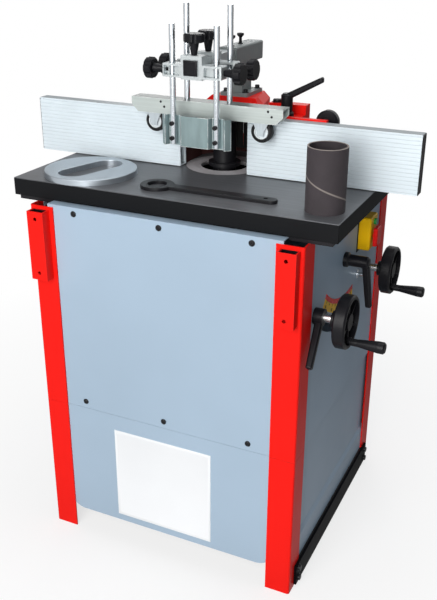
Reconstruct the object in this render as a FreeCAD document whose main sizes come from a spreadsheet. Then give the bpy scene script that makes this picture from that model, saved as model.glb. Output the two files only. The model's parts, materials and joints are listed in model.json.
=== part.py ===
import FreeCAD
import Part
import Sketcher
import math
import os
import re

# A spindle moulder, in millimetres. The origin lies on the floor under the spindle, +z is up, and the
# operator stands at -y and looks along +y.

SIZES = {
    # the overrun of every cut, and the clearances
    "cut_over": 2,
    "run_gap": 0.06,
    "slide_gap": 0.3,
    "hole_gap": 1,
    # table and insert rings
    "table_width": 712,
    "table_depth": 570,
    "table_thick": 37,
    "table_top": 850,
    "table_edge": 1.5,
    "ring_radius": 84,
    "ring_thick": 12,
    "ring_ledge": 7,
    "ring_middle": 64,
    "ring_lap": 4,
    "ring_inner": 52,
    # cabinet
    "cabinet_width": 604,
    "cabinet_front": 308,
    "cabinet_rear": 286,
    "mount_height": 8,
    "post_face": 56,
    "post_side": 57,
    "post_wall": 3,
    "post_bend": 5,
    "seam_height": 341,
    "seam_gap": 0.6,
    "panel_wall": 2,
    "panel_lap": 14,
    "panel_rise": 6,
    "panel_fold": 24,
    "panel_bottom": 57,
    "panel_corner": 40,
    "band_step": 5,
    "band_top": 124,
    "band_slope": 12,
    "bar_thick": 6,
    "bar_height": 50,
    "bar_lift": 6,
    "bar_inset": 29,
    "bolt_radius": 7,
    "bolt_head": 5,
    "bolt_end": 14,
    "bolt_pitch": 26,
    "screw_radius": 5.5,
    "screw_head": 3,
    "screw_inset": 49,
    "screw_drop": 8,
    "screw_rise": 17,
    "socket_inset": 27,
    "socket_width": 39,
    "socket_depth": 23,
    "socket_height": 150,
    "socket_drop": 7,
    "socket_wall": 3,
    "socket_hole": 4,
    "socket_pitch": 119,
    "mount_overhang": 43,
    "mount_length": 90,
    "mount_width": 42,
    "mount_inset": 4,
    "gland_radius": 8,
    "gland_bore": 5,
    "gland_nut": 13,
    "gland_length": 24,
    "gland_side": 150,
    "gland_rise": 44,
    # tilting frame
    "tilt_range": 30,
    "trunnion_radius": 174,
    "trunnion_thick": 15,
    "tilt_pin": 8,
    "tilt_pin_circle": 150,
    "tilt_pin_angle": 20,
    "tilt_washer": 14,
    "tilt_washer_thick": 4,
    "yoke_half": 95,
    "yoke_plate": 14.5,
    "yoke_front": 100,
    "yoke_depth": 175,
    "yoke_drop": 90,
    "yoke_height": 335,
    "crossbar_depth": 36,
    "crossbar_height": 22,
    "lug_height": 20,
    "lug_reach": 39,
    "column_radius": 11,
    "column_spread": 72,
    "column_front": 62,
    "shaft_radius": 9,
    "bush_wall": 8,
    "bush_length": 14,
    "beam_front": 80,
    "beam_depth": 44,
    "beam_drop": 182,
    "beam_height": 28,
    # toothed sector, pinions and rack
    "tooth_pitch": 7.8,
    "tooth_play": 0.4,
    "pinion_teeth": 12,
    "sector_teeth": 192,
    "sector_inset": 37,
    "sector_plate": 10,
    "sector_inner": 140,
    "sector_rim": 24,
    "pinion_over": 2,
    "pinion_angle": 26,
    "lock_circle": 165,
    "lock_angle": -13.3,
    "lock_stud": 6,
    "rack_left": 74,
    "rack_width": 14,
    "rack_back": 12,
    # quill, spindle and drive
    "height_up": 39,
    "height_down": 62.4,
    "quill_radius": 45,
    "quill_drop": 156,
    "quill_length": 174,
    "boss_radius": 20,
    "boss_inset": 20,
    "web_thick": 16,
    "web_half": 30,
    "bearing_outer": 34,
    "bearing_width": 16,
    "bearing_inset": 6,
    "spindle_radius": 20,
    "spindle_tail": 14,
    "nose_radius": 26,
    "disc_radius": 35.5,
    "disc_thick": 8,
    "disc_lift": 1.5,
    "arbor_radius": 15,
    "collar_radius": 25,
    "collar_count": 4,
    "collar_thick": 22,
    "nut_radius": 22,
    "nut_thick": 12,
    "arbor_end": 4,
    "motor_radius": 70,
    "motor_length": 200,
    "motor_front": 155,
    "motor_shaft": 9,
    "motor_seat": 28,
    "motor_plate": 12,
    "motor_box_width": 60,
    "motor_box_depth": 26,
    "motor_box_height": 80,
    "plate_half": 73,
    "plate_drop": 338,
    "bridge_half": 44,
    "pulley_width": 24,
    "pulley_lip": 3,
    "pulley_gap": 6,
    "spindle_pulley": 28,
    "motor_pulley": 45,
    "belt_thick": 4,
    "belt_width": 16,
    # handwheels and levers on the right side
    "height_front": 222,
    "height_drop": 215,
    "wheel_standoff": 51,
    "wheel_radius": 54,
    "wheel_width": 25,
    "wheel_rim": 8,
    "wheel_web": 6,
    "wheel_hub": 17,
    "wheel_neck": 14,
    "wheel_round": 3,
    "rib_thick": 4,
    "rib_count": 6,
    "crank_radius": 41,
    "crank_boss": 9,
    "handle_length": 69,
    "handle_root": 7.5,
    "handle_end": 12,
    "lever_hub": 12.5,
    "lever_foot": 16,
    "lever_foot_length": 8,
    "lever_arm_width": 15,
    "lever_arm_thick": 16,
    "lever_tip_thick": 13,
    "lever_round": 4,
    "tilt_lever_length": 54,
    "tilt_lever_reach": 100,
    "tilt_lever_rise": 12,
    "height_lever_hub": 17,
    "height_lever_length": 20,
    "height_lever_reach": 108,
    "height_lever_rise": 4,
    "height_lever_angle": -42,
    # switch
    "switch_front": 50,
    "switch_width": 56,
    "switch_drop": 124,
    "switch_height": 75,
    "switch_depth": 28,
    "switch_round": 5,
    "paddle_width": 38,
    "paddle_height": 42,
    "paddle_thick": 9,
    "paddle_rise": 9,
    "paddle_stem": 6,
    "paddle_travel": 4,
    "button_radius": 7,
    "button_drop": 13,
    "button_proud": 5,
    "button_depth": 10,
    # fence housing and fences
    "fence_setback": 225.6,
    "fence_thick": 27.3,
    "fence_height": 120,
    "fence_lift": 2,
    "fence_length": 362,
    "fence_gap": 79,
    "fence_wall": 3,
    "fence_chambers": 3,
    "groove_count": 15,
    "groove_depth": 0.9,
    "wing_thick": 12,
    "left_wing_end": 290,
    "right_wing_end": 240,
    "left_wing_rise": 112,
    "right_wing_rise": 125,
    "housing_half": 96,
    "hood_straight": 30,
    "housing_rear_half": 62,
    "housing_rise": 110,
    "housing_wall": 12,
    "hood_lead": 49.8,
    "hood_front_half": 66,
    "hood_rear_half": 48,
    "hood_taper": 80,
    "hood_rise": 32,
    "hood_slope": 14,
    "ledge_end": 168,
    "ledge_width": 64.8,
    "ledge_rise": 116,
    "block_width": 27,
    "block_rise": 20,
    "foot_reach": 205,
    "foot_width": 115.8,
    "foot_thick": 10,
    "spigot_radius": 50,
    "spigot_wall": 3,
    "spigot_length": 48,
    "spigot_lift": 7.7,
    "fence_lever_inset": 32,
    "fence_lever_lead": 34.8,
    "fence_lever_length": 49,
    "fence_lever_reach": 78,
    "fence_lever_rise": 40,
    "knob_inset": 12,
    "knob_drop": 11,
    "round_knob_radius": 24,
    "round_knob_thick": 20,
    "round_knob_stem": 8,
    "round_knob_back": 24,
    # hold-down bracket and arm
    "bracket_flange_half": 32,
    "bracket_setback": 15,
    "bracket_flange_depth": 86,
    "bracket_flange_thick": 8,
    "bracket_column_half": 15,
    "bracket_column_inset": 10,
    "bracket_column_depth": 52,
    "bracket_sleeve_half": 20,
    "bracket_sleeve_lead": 42,
    "bracket_sleeve_depth": 145,
    "bracket_round": 4,
    "arm_width": 30,
    "arm_wall": 2.5,
    "arm_rise": 88,
    "arm_lead": 17,
    "arm_inset": 8,
    # clamp blocks, rods and star knobs
    "block_pitch": 63,
    "block_lead": 22.6,
    "block_half": 65,
    "block_depth": 28,
    "block_arm_height": 26,
    "block_arm_drop": 7,
    "block_sleeve": 46,
    "block_wall": 4,
    "block_recess": 12,
    "block_round": 3,
    "rod_radius": 6,
    "rod_inset": 16.5,
    "guard_margin": 4,
    "front_rod_rise": 80,
    "rear_rod_rise": 114,
    "star_radius": 21,
    "star_thick": 17,
    "star_neck": 10,
    "star_foot": 6,
    "star_stem": 24,
    "star_lobes": 6,
    "star_notch": 6,
    "star_stud": 4,
    "star_round": 2.5,
    # guard plate, roller bar and rollers
    "guard_half": 77,
    "guard_drop": 160,
    "guard_height": 62,
    "guard_wall": 2.5,
    "guard_proud": 9,
    "guard_flute": 12,
    "guard_slope": 6,
    "guard_curl": 9,
    "bar_half": 172,
    "bar_drop": 108,
    "bar_rise": 31,
    "bar_depth": 36,
    "bar_wall": 3,
    "bar_bevel": 15,
    "roller_inset": 50,
    "roller_drop": 19,
    "roller_radius": 22.5,
    "roller_width": 18,
    "roller_axle": 4,
    "fork_width": 34,
    "fork_toe": 7,
    "fork_wall": 2.5,
    "fork_foot": 8,
    # loose things on the table
    "oblong_margin": 96,
    "oblong_radius": 98,
    "oblong_thick": 12,
    "oblong_slot_half": 46,
    "oblong_slot_radius": 32,
    "oblong_turn": 73,
    "oblong_edge": 1.5,
    "spanner_side": 50,
    "spanner_margin": 69,
    "spanner_radius": 35,
    "spanner_bore": 20,
    "spanner_eye": 4,
    "spanner_eye_inset": 12,
    "spanner_width": 25,
    "spanner_thick": 7,
    "spanner_edge": 1.5,
    "sleeve_margin": 70,
    "sleeve_radius": 38,
    "sleeve_wall": 3,
    "sleeve_height": 122,
}

# places of the loose things as shares of the table's width
OBLONG_SIDE_SHARE = 0.3174
SPANNER_REACH_SHARE = 0.2781
SLEEVE_SIDE_SHARE = 0.4284

PLACES = {
    "table_under": "table_top - table_thick",
    "post_out": "cabinet_width / 2",
    "side_face": "post_out - post_wall",
    "front_face": "post_wall - cabinet_front",
    "rear_face": "cabinet_rear - post_wall",
    "upper_low": "seam_height + seam_gap / 2",
    "lower_high": "seam_height - seam_gap / 2",
    "panel_half": "post_out - post_face + panel_lap",
    "panel_near": "post_side - panel_lap - cabinet_front",
    "panel_far": "cabinet_rear - post_side + panel_lap",
    "yoke_out": "yoke_half + yoke_plate",
    "trunnion_low": "yoke_out + slide_gap",
    "trunnion_high": "trunnion_low + trunnion_thick",
    "yoke_top": "table_top - yoke_drop",
    "yoke_low": "yoke_top - yoke_height",
    "crossbar_near": "-column_front - crossbar_depth / 2",
    "crossbar_far": "crossbar_depth / 2 - column_front",
    "sector_face": "sector_reach + sector_plate",
    "pinion_pitch": "tooth_pitch * pinion_teeth / 2 / pi",
    "sector_pitch": "tooth_pitch * sector_teeth / 2 / pi",
    "tilt_shaft_y": "(sector_pitch + pinion_pitch) * sin(pinion_angle)",
    "tilt_shaft_z": "table_top - (sector_pitch + pinion_pitch) * cos(pinion_angle)",
    "lock_y": "lock_circle * sin(lock_angle)",
    "lock_z": "table_top - lock_circle * cos(lock_angle)",
    "height_y": "-height_front",
    "height_z": "table_top - height_drop",
    "bush_radius": "shaft_radius + bush_wall",
    "quill_high": "table_top - quill_drop",
    "quill_low": "quill_high - quill_length",
    "boss_high": "quill_high - boss_inset",
    "boss_low": "quill_low + boss_inset",
    "motor_y": "-motor_front",
    "plate_high": "table_top - plate_drop",
    "plate_low": "plate_high - motor_plate",
    "pulley_high": "plate_low - pulley_gap",
    "pulley_low": "pulley_high - pulley_width",
    "belt_middle": "pulley_high - pulley_width / 2",
    "disc_low": "table_top + disc_lift",
    "disc_high": "disc_low + disc_thick",
    "collar_high": "disc_high + collar_count * collar_thick",
    "arbor_high": "collar_high + nut_thick + arbor_end",
    "fence_front": "fence_setback - table_depth / 2",
    "fence_rear": "fence_front + fence_thick",
    "fence_low": "table_top + fence_lift",
    "wing_near": "fence_rear + slide_gap",
    "wing_far": "wing_near + wing_thick",
    "house_low": "table_top + slide_gap",
    "bracket_low": "hood_top + bracket_flange_thick",
    "sleeve_low": "arm_height - bracket_sleeve_half",
    "sleeve_high": "arm_height + bracket_sleeve_half",
    "bar_high": "bar_low + bar_rise",
    "switch_far": "side_face + switch_depth",
    "switch_rear": "switch_front + switch_width",
    "switch_high": "switch_low + switch_height",
    "switch_middle": "switch_front + switch_width / 2",
    "paddle_low": "switch_low + paddle_rise",
    "paddle_middle": "paddle_low + paddle_height / 2",
    "button_height": "switch_high - button_drop",
    "cabinet_top": "table_under - mount_height",
    "socket_centre": "post_out - socket_inset",
    "socket_top": "cabinet_top - socket_drop",
    "mount_reach": "post_out + mount_overhang",
    "gland_height": "seam_height + gland_rise",
    "sector_reach": "side_face - sector_inset",
    "wheel_face": "side_face + wheel_standoff",
    "switch_low": "cabinet_top - switch_drop",
    "left_wing_top": "table_top + left_wing_rise",
    "right_wing_top": "table_top + right_wing_rise",
    "housing_top": "table_top + housing_rise",
    "hood_top": "housing_top + hood_rise",
    "ledge_top": "table_top + ledge_rise",
    "block_top": "ledge_top + block_rise",
    "spigot_height": "house_low + spigot_radius + spigot_lift",
    "fence_lever_side": "ledge_end - fence_lever_inset",
    "knob_side": "right_wing_end - knob_inset",
    "knob_height": "right_wing_top - knob_drop",
    "arm_height": "hood_top + arm_rise",
    "arm_near": "front_block + arm_lead",
    "front_block": "rear_block + block_pitch",
    "rear_block": "block_lead - fence_front",
    "block_level": "arm_height - block_arm_drop",
    "rod_spread": "block_half - rod_inset",
    "front_rod_low": "guard_low + guard_margin",
    "front_rod_high": "arm_height + front_rod_rise",
    "rear_rod_high": "arm_height + rear_rod_rise",
    "star_stud_length": "(block_sleeve - arm_width - hole_gap) / 2",
    "guard_low": "arm_height - guard_drop",
    "bar_low": "arm_height - bar_drop",
    "roller_side": "bar_half - roller_inset",
    "roller_height": "bar_low - roller_drop",
    "oblong_side": "table_width * %s" % OBLONG_SIDE_SHARE,
    "oblong_front": "table_depth / 2 - oblong_margin",
    "spanner_front": "table_depth / 2 - spanner_margin",
    "spanner_reach": "table_width * %s" % SPANNER_REACH_SHARE,
    "sleeve_side": "table_width * %s" % SLEEVE_SIDE_SHARE,
    "sleeve_front": "table_depth / 2 - sleeve_margin",
    "screw_pitch": "post_out - post_face - screw_inset",
    "hood_front": "wing_far + hood_lead",
    "housing_bend": "hood_front + hood_straight",
    "hood_rear": "housing_bend + hood_taper",
    "ledge_depth": "wing_far + ledge_width",
    "block_rear": "ledge_depth + block_width",
    "foot_depth": "wing_far + foot_width",
    "fence_lever_back": "wing_far + fence_lever_lead",
    "bracket_flange_near": "hood_front + bracket_setback",
    "bracket_flange_far": "bracket_flange_near + bracket_flange_depth",
    "bracket_column_near": "bracket_flange_near + bracket_column_inset",
    "bracket_column_far": "bracket_column_near + bracket_column_depth",
    "bracket_sleeve_near": "bracket_column_near - bracket_sleeve_lead",
    "bracket_sleeve_far": "bracket_sleeve_near + bracket_sleeve_depth",
    "arm_far": "bracket_sleeve_far - arm_inset",
}

# outlines as shares of the sizes that they follow
YOKE_DEPTH_SHARES = (0, 0.69, 1, 1, 0.32, 0.32, 0)
YOKE_HEIGHT_SHARES = (0, 0, 0.16, 0.45, 0.72, 1, 1)
TOOTH_TIP_SHARE = 0.28
TOOTH_ROOT_SHARE = 0.36
TOOTH_FLANK_SHARE = 0.36
SECTOR_STEP_SHARE = 0.125
HANDLE_NECK_SHARE = 0.2
HANDLE_SWELL_SHARE = 0.8

# teeth beyond the travel, and the sector's corners as tooth steps from the height shaft
SPARE_TEETH = 2
SECTOR_FRONT_STEPS = 4
SECTOR_TIP_STEPS = 2
SECTOR_HEEL_STEPS = 7

ALONG = {
    "x": FreeCAD.Rotation(FreeCAD.Vector(0, 1, 0), 90),
    "y": FreeCAD.Rotation(FreeCAD.Vector(1, 0, 0), -90),
    "z": FreeCAD.Rotation(),
}
BACK = FreeCAD.Rotation(FreeCAD.Vector(0, 1, 0), -90)
WORD = re.compile(r"[a-z][a-z0-9_]*")
MATHS = ("sin", "cos", "sqrt", "pi")

doc = FreeCAD.newDocument("spindle_moulder")
sheet = doc.addObject("Spreadsheet::Sheet", "sizes")
for row, (alias, number) in enumerate(SIZES.items(), start=1):
    sheet.set("A%d" % row, alias)
    sheet.set("B%d" % row, str(number))
    sheet.setAlias("B%d" % row, alias)
doc.recompute()
nodes = []


def spell(text):
    """Write a formula of plain names as one that reads the sheet's cells."""
    def swap(match):
        word = match.group(0)
        if word in PLACES:
            return "(" + spell(PLACES[word]) + ")"
        if word in SIZES:
            return "sizes." + word
        if word in MATHS:
            return word
        raise NameError(word)
    return WORD.sub(swap, text)


def size(text):
    """The value of a formula of named sizes."""
    return float(sheet.evalExpression(spell(text)))


def bind(thing, prop, text):
    """Tie a property of a document object to a formula of named sizes."""
    thing.setExpression(prop, spell(text))


def put(thing, rotation, x, y, z):
    """Turn an object and tie its place to the sheet."""
    thing.Placement = FreeCAD.Placement(FreeCAD.Vector(), rotation)
    bind(thing, "Placement.Base.x", x)
    bind(thing, "Placement.Base.y", y)
    bind(thing, "Placement.Base.z", z)
    return thing


def node(label, thing):
    """Name an object as one of the part's pieces."""
    thing.Label = label
    nodes.append(thing)
    return thing


def less(low, high):
    """The length between two formulas."""
    return "(%s) - (%s)" % (high, low)


def slab(x, y, z):
    """A box between pairs of low and high formulas."""
    box = doc.addObject("Part::Box", "slab")
    bind(box, "Length", less(*x))
    bind(box, "Width", less(*y))
    bind(box, "Height", less(*z))
    return put(box, ALONG["z"], x[0], y[0], z[0])


def base(axis, low, at):
    """The x, y and z of a point at a height along an axis and a place across it."""
    if axis == "x":
        return (low, at[0], at[1])
    if axis == "y":
        return (at[0], low, at[1])
    return (at[0], at[1], low)


def rod(axis, radius, span, at):
    """A cylinder along an axis, between low and high formulas, at a place across the axis."""
    cylinder = doc.addObject("Part::Cylinder", "rod")
    bind(cylinder, "Radius", radius)
    bind(cylinder, "Height", less(*span))
    return put(cylinder, ALONG[axis], *base(axis, span[0], at))


def bore(axis, radius, span, at):
    """A rod that overruns both ends of its span, to cut a hole."""
    return rod(axis, radius, (span[0] + " - cut_over", span[1] + " + cut_over"), at)


def hexagon(axis, radius, span, at):
    """A six-sided head along an axis."""
    prism = doc.addObject("Part::Prism", "hexagon")
    prism.Polygon = 6
    bind(prism, "Circumradius", radius)
    bind(prism, "Height", less(*span))
    return put(prism, ALONG[axis], *base(axis, span[0], at))


def join(*pieces):
    """Fuse pieces into one."""
    fusion = doc.addObject("Part::MultiFuse", "join")
    fusion.Shapes = list(pieces)
    fusion.Refine = True
    return fusion


def cut(thing, *tools):
    """Cut tools out of a piece."""
    result = doc.addObject("Part::Cut", "cut")
    result.Base = thing
    result.Tool = tools[0] if len(tools) == 1 else join(*tools)
    result.Refine = True
    return result


def overlap(thing, other):
    """Keep what two pieces share."""
    result = doc.addObject("Part::Common", "overlap")
    result.Base = thing
    result.Tool = other
    return result


def group(pieces):
    """Hold several separate solids as one object."""
    compound = doc.addObject("Part::Compound", "group")
    compound.Links = list(pieces)
    return compound


def tube(axis, outer, inner, span, at):
    """A plain ring or tube along an axis."""
    return cut(rod(axis, outer, span, at), bore(axis, inner, span, at))


def middle(edge):
    """The point halfway along an edge."""
    return edge.valueAt((edge.FirstParameter + edge.LastParameter) / 2)


def rounded(thing, radius, wanted):
    """Round the edges of a piece for which wanted(middle point, edge) holds."""
    doc.recompute()
    fillet = doc.addObject("Part::Fillet", "rounded")
    fillet.Base = thing
    reach = size(radius)
    edges = enumerate(thing.Shape.Edges, start=1)
    fillet.Edges = [(number, reach, reach) for number, edge in edges if wanted(middle(edge), edge)]
    return fillet


def bevelled(thing, reach, wanted):
    """Cut back the edges of a piece for which wanted(middle point, edge) holds."""
    doc.recompute()
    chamfer = doc.addObject("Part::Chamfer", "bevelled")
    chamfer.Base = thing
    back = size(reach)
    edges = enumerate(thing.Shape.Edges, start=1)
    chamfer.Edges = [(number, back, back) for number, edge in edges if wanted(middle(edge), edge)]
    return chamfer


def near(one, other):
    """Whether two lengths are the same within a running clearance."""
    return abs(one - other) < size("run_gap")


def new_body(name):
    """An empty body."""
    return doc.addObject("PartDesign::Body", name)


def draw(body, plane, corners, lift="0"):
    """Sketch a closed outline on one of the body's planes, with every corner tied to the sheet."""
    sketch = body.newObject("Sketcher::SketchObject", "outline")
    planes = [feature for feature in body.Origin.OriginFeatures if feature.Role == plane]
    sketch.AttachmentSupport = [(planes[0], "")]
    sketch.MapMode = "FlatFace"
    bind(sketch, "AttachmentOffset.Base.z", lift)
    spots = [FreeCAD.Vector(size(across), size(along), 0) for across, along in corners]
    count = len(spots)
    sketch.addGeometry([Part.LineSegment(spots[i], spots[(i + 1) % count]) for i in range(count)], False)
    sketch.addConstraint([Sketcher.Constraint("Coincident", i, 2, (i + 1) % count, 1) for i in range(count)])
    for i, (across, along) in enumerate(corners):
        tie(sketch, "DistanceX", i, across, "across_%d" % i)
        tie(sketch, "DistanceY", i, along, "along_%d" % i)
    return sketch


def tie(sketch, kind, line, text, name):
    """Hold the start of a sketched line at a formula's distance from the origin."""
    number = sketch.addConstraint(Sketcher.Constraint(kind, -1, 1, line, 1, size(text)))
    sketch.renameConstraint(number, name)
    bind(sketch, "Constraints." + name, text)


def pad(body, sketch, length, back=False):
    """Raise a sketch into a solid."""
    feature = body.newObject("PartDesign::Pad", "pad")
    feature.Profile = sketch
    feature.Reversed = back
    bind(feature, "Length", length)
    body.Tip = feature
    return feature


def pocket(body, sketch, length, back=False):
    """Cut a sketch into the solid."""
    feature = body.newObject("PartDesign::Pocket", "pocket")
    feature.Profile = sketch
    feature.Reversed = back
    bind(feature, "Length", length)
    body.Tip = feature
    return feature


def turn(body, sketch):
    """Turn a sketch of radii and heights about the body's z axis."""
    feature = body.newObject("PartDesign::Revolution", "turn")
    feature.Profile = sketch
    feature.ReferenceAxis = (sketch, ["V_Axis"])
    feature.Angle = 360
    body.Tip = feature
    return feature


def around(body, feature, sketch, count):
    """Repeat a feature evenly about the z axis."""
    doc.recompute()
    pattern = body.newObject("PartDesign::PolarPattern", "around")
    pattern.Originals = [feature]
    pattern.Axis = (sketch, ["N_Axis"])
    pattern.Angle = 360
    bind(pattern, "Occurrences", count)
    body.Tip = pattern
    return pattern


def soften(body, radius, wanted):
    """Round the edges of a body for which wanted(middle point, edge) holds."""
    doc.recompute()
    last = body.Tip
    edges = enumerate(last.Shape.Edges, start=1)
    names = ["Edge%d" % number for number, edge in edges if wanted(middle(edge), edge)]
    fillet = body.newObject("PartDesign::Fillet", "soften")
    fillet.Base = (last, names)
    bind(fillet, "Radius", radius)
    body.Tip = fillet
    return fillet


def draw_circle(body, across, along, radius, lift):
    """Sketch a circle on the body's xy plane, tied to the sheet."""
    sketch = body.newObject("Sketcher::SketchObject", "circle")
    planes = [feature for feature in body.Origin.OriginFeatures if feature.Role == "XY_Plane"]
    sketch.AttachmentSupport = [(planes[0], "")]
    sketch.MapMode = "FlatFace"
    bind(sketch, "AttachmentOffset.Base.z", lift)
    centre = FreeCAD.Vector(size(across), size(along), 0)
    sketch.addGeometry(Part.Circle(centre, FreeCAD.Vector(0, 0, 1), size(radius)), False)
    for kind, text, name in (("DistanceX", across, "across"), ("DistanceY", along, "along")):
        number = sketch.addConstraint(Sketcher.Constraint(kind, -1, 1, 0, 3, size(text)))
        sketch.renameConstraint(number, name)
        bind(sketch, "Constraints." + name, text)
    number = sketch.addConstraint(Sketcher.Constraint("Radius", 0, size(radius)))
    sketch.renameConstraint(number, "radius")
    bind(sketch, "Constraints.radius", radius)
    return sketch


def prism(plane, corners, low, high):
    """An outline on a plane, raised between two places along the plane's axis."""
    body = new_body("prism")
    if plane == "XZ_Plane":
        pad(body, draw(body, plane, corners, "-(%s)" % high), less(low, high))
    else:
        pad(body, draw(body, plane, corners, low), less(low, high))
    return body


def turned(outline):
    """A body turned from an outline of radii and heights."""
    body = new_body("turned")
    turn(body, draw(body, "XZ_Plane", outline))
    return body


def shaped(solid):
    """A solid whose outline follows a formula of its own, such as a row of teeth."""
    feature = doc.addObject("Part::Feature", "shaped")
    feature.Shape = solid
    return feature


def span(side, low, high):
    """A pair of formulas on the right, or mirrored to the left for a side of -1."""
    if side > 0:
        return (low, high)
    return ("-(%s)" % high, "-(%s)" % low)


def swung(circle, angle):
    """The y and z of a point on a circle about the tilt axis, its angle from straight down to the rear."""
    return ("(%s) * sin(%s)" % (circle, angle), "table_top - (%s) * cos(%s)" % (circle, angle))


SPINDLE_AXIS = ("0", "0")
MOTOR_AXIS = ("0", "motor_y")
TILT_AXIS = ("0", "table_top")
HEIGHT_SHAFT = ("height_y", "height_z")
TILT_SHAFT = ("tilt_shaft_y", "tilt_shaft_z")
LOCK_STUD = ("lock_y", "lock_z")
SIDES = (1, -1)


def arc_slot(circle, half, first, last, along):
    """A cutter for a slot that follows a circle about the tilt axis, between two angles in degrees."""
    outer = bore("x", "%s + %s" % (circle, half), along, TILT_AXIS)
    outer.Angle = last - first
    start = ALONG["x"].multiply(FreeCAD.Rotation(FreeCAD.Vector(0, 0, 1), first))
    outer.Placement = FreeCAD.Placement(outer.Placement.Base, start)
    beyond = (along[0] + " - cut_over", along[1] + " + cut_over")
    inner = bore("x", "%s - (%s)" % (circle, half), beyond, TILT_AXIS)
    ends = [bore("x", half, along, swung(circle, angle)) for angle in (first, last)]
    return join(cut(outer, inner), *ends)


# cabinet


def corner_post(side, corner, inward, low, high):
    """One post of bent sheet with its outer and inner bends rounded."""
    def across(inset):
        return "%d * (post_out - %s)" % (side, inset)

    def along(inset):
        return "%s + %d * %s" % (corner, inward, inset)

    outline = [
        (across("0"), along("0")),
        (across("post_face"), along("0")),
        (across("post_face"), along("post_wall")),
        (across("post_wall"), along("post_wall")),
        (across("post_wall"), along("post_side")),
        (across("0"), along("post_side")),
    ]
    body = prism("XY_Plane", outline, low, high)
    for radius, inset in (("post_bend", "0"), ("post_bend - post_wall", "post_wall")):
        x = size(across(inset))
        y = size(along(inset))
        soften(body, radius, lambda spot, edge: near(spot.x, x) and near(spot.y, y))
    return body


def corner_posts(label, low, high):
    """The four posts of one half of the cabinet."""
    corners = (("-cabinet_front", 1), ("cabinet_rear", -1))
    posts = [corner_post(side, corner, way, low, high) for side in SIDES for corner, way in corners]
    node(label, group(posts))


def upper_panels():
    """The sheet panels between the upper posts."""
    height = ("upper_low", "cabinet_top")
    front = ("front_face", "front_face + panel_wall")
    rear = ("rear_face - panel_wall", "rear_face")
    depth = ("panel_near", "panel_far")
    raised_top = "cabinet_top + panel_rise"
    across = ("-panel_half", "panel_half")
    fold = ("front_face", "front_face + panel_fold")
    node("front_upper_panel", join(
        slab(across, front, ("upper_low", raised_top)),
        slab(across, fold, (raised_top + " - panel_wall", raised_top)),
    ))
    gland = bore("y", "gland_radius", rear, ("-gland_side", "gland_height"))
    node("rear_upper_panel", cut(slab(("-panel_half", "panel_half"), rear, height), gland))
    node("left_upper_panel", slab(("-side_face", "panel_wall - side_face"), depth, height))
    sheet_span = ("side_face - panel_wall", "side_face")
    boss_span = ("side_face - bush_length", "side_face")
    panel = join(
        slab(sheet_span, depth, height),
        rod("x", "bush_radius", boss_span, TILT_SHAFT),
        rod("x", "lock_stud + bush_wall", boss_span, LOCK_STUD),
    )
    start = -math.degrees(math.atan2(size("height_front"), size("height_drop")))
    slot = arc_slot(
        "sqrt(height_front * height_front + height_drop * height_drop)",
        "shaft_radius + hole_gap",
        start,
        start + size("tilt_range"),
        sheet_span,
    )
    holes = (
        bore("x", "shaft_radius + run_gap", boss_span, TILT_SHAFT),
        bore("x", "lock_stud + run_gap", boss_span, LOCK_STUD),
    )
    node("right_upper_panel", cut(panel, slot, *holes))


def lower_panels():
    """The panels between the lower posts, the side ones with a proud band at the foot."""
    height = ("panel_bottom", "lower_high")
    edge_x = size("panel_half")
    foot = size("panel_bottom")
    panels = []

    def low_corner(spot, edge):
        return near(abs(spot.x), edge_x) and near(spot.z, foot)

    for depth in (("front_face", "front_face + panel_wall"), ("rear_face - panel_wall", "rear_face")):
        plain = slab(("-panel_half", "panel_half"), depth, height)
        panels.append(rounded(plain, "panel_corner", low_corner))
    for side in SIDES:
        outline = [
            ("side_face - band_step", "lower_high"),
            ("side_face - band_step", "band_top"),
            ("side_face", "band_top - band_slope"),
            ("side_face", "panel_bottom"),
            ("side_face - panel_wall", "panel_bottom"),
            ("side_face - panel_wall", "band_top - band_slope"),
            ("side_face - band_step - panel_wall", "band_top"),
            ("side_face - band_step - panel_wall", "lower_high"),
        ]
        outline = [("%d * (%s)" % (side, x), z) for x, z in outline]
        panels.append(prism("XZ_Plane", outline, "panel_near", "panel_far"))
    node("lower_panels", group(panels))


def base_bars():
    """The two bars low on the sides."""
    bars = []
    for side in SIDES:
        across = span(side, "post_out", "post_out + bar_thick")
        depth = ("bar_inset - cabinet_front", "cabinet_rear - bar_inset")
        bars.append(slab(across, depth, ("bar_lift", "bar_lift + bar_height")))
    node("base_bars", group(bars))


def cabinet_fasteners():
    """The bolts of the base bars and the button-headed screws of the front panels."""
    heads = []
    ends = ("bar_inset + bolt_end - cabinet_front", "cabinet_rear - bar_inset - bolt_end")
    for side in SIDES:
        across = span(side, "post_out + bar_thick", "post_out + bar_thick + bolt_head")
        for along in ends:
            for way in SIDES:
                height = "bar_lift + bar_height / 2 + %d * bolt_pitch / 2" % way
                heads.append(hexagon("x", "bolt_radius", across, (along, height)))
    for height in ("cabinet_top - screw_drop", "seam_height + screw_rise"):
        for place in (-1, 0, 1):
            depth = ("front_face - screw_head", "front_face")
            heads.append(rod("y", "screw_radius", depth, ("%d * screw_pitch" % place, height)))
    node("cabinet_fasteners", group(heads))


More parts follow.
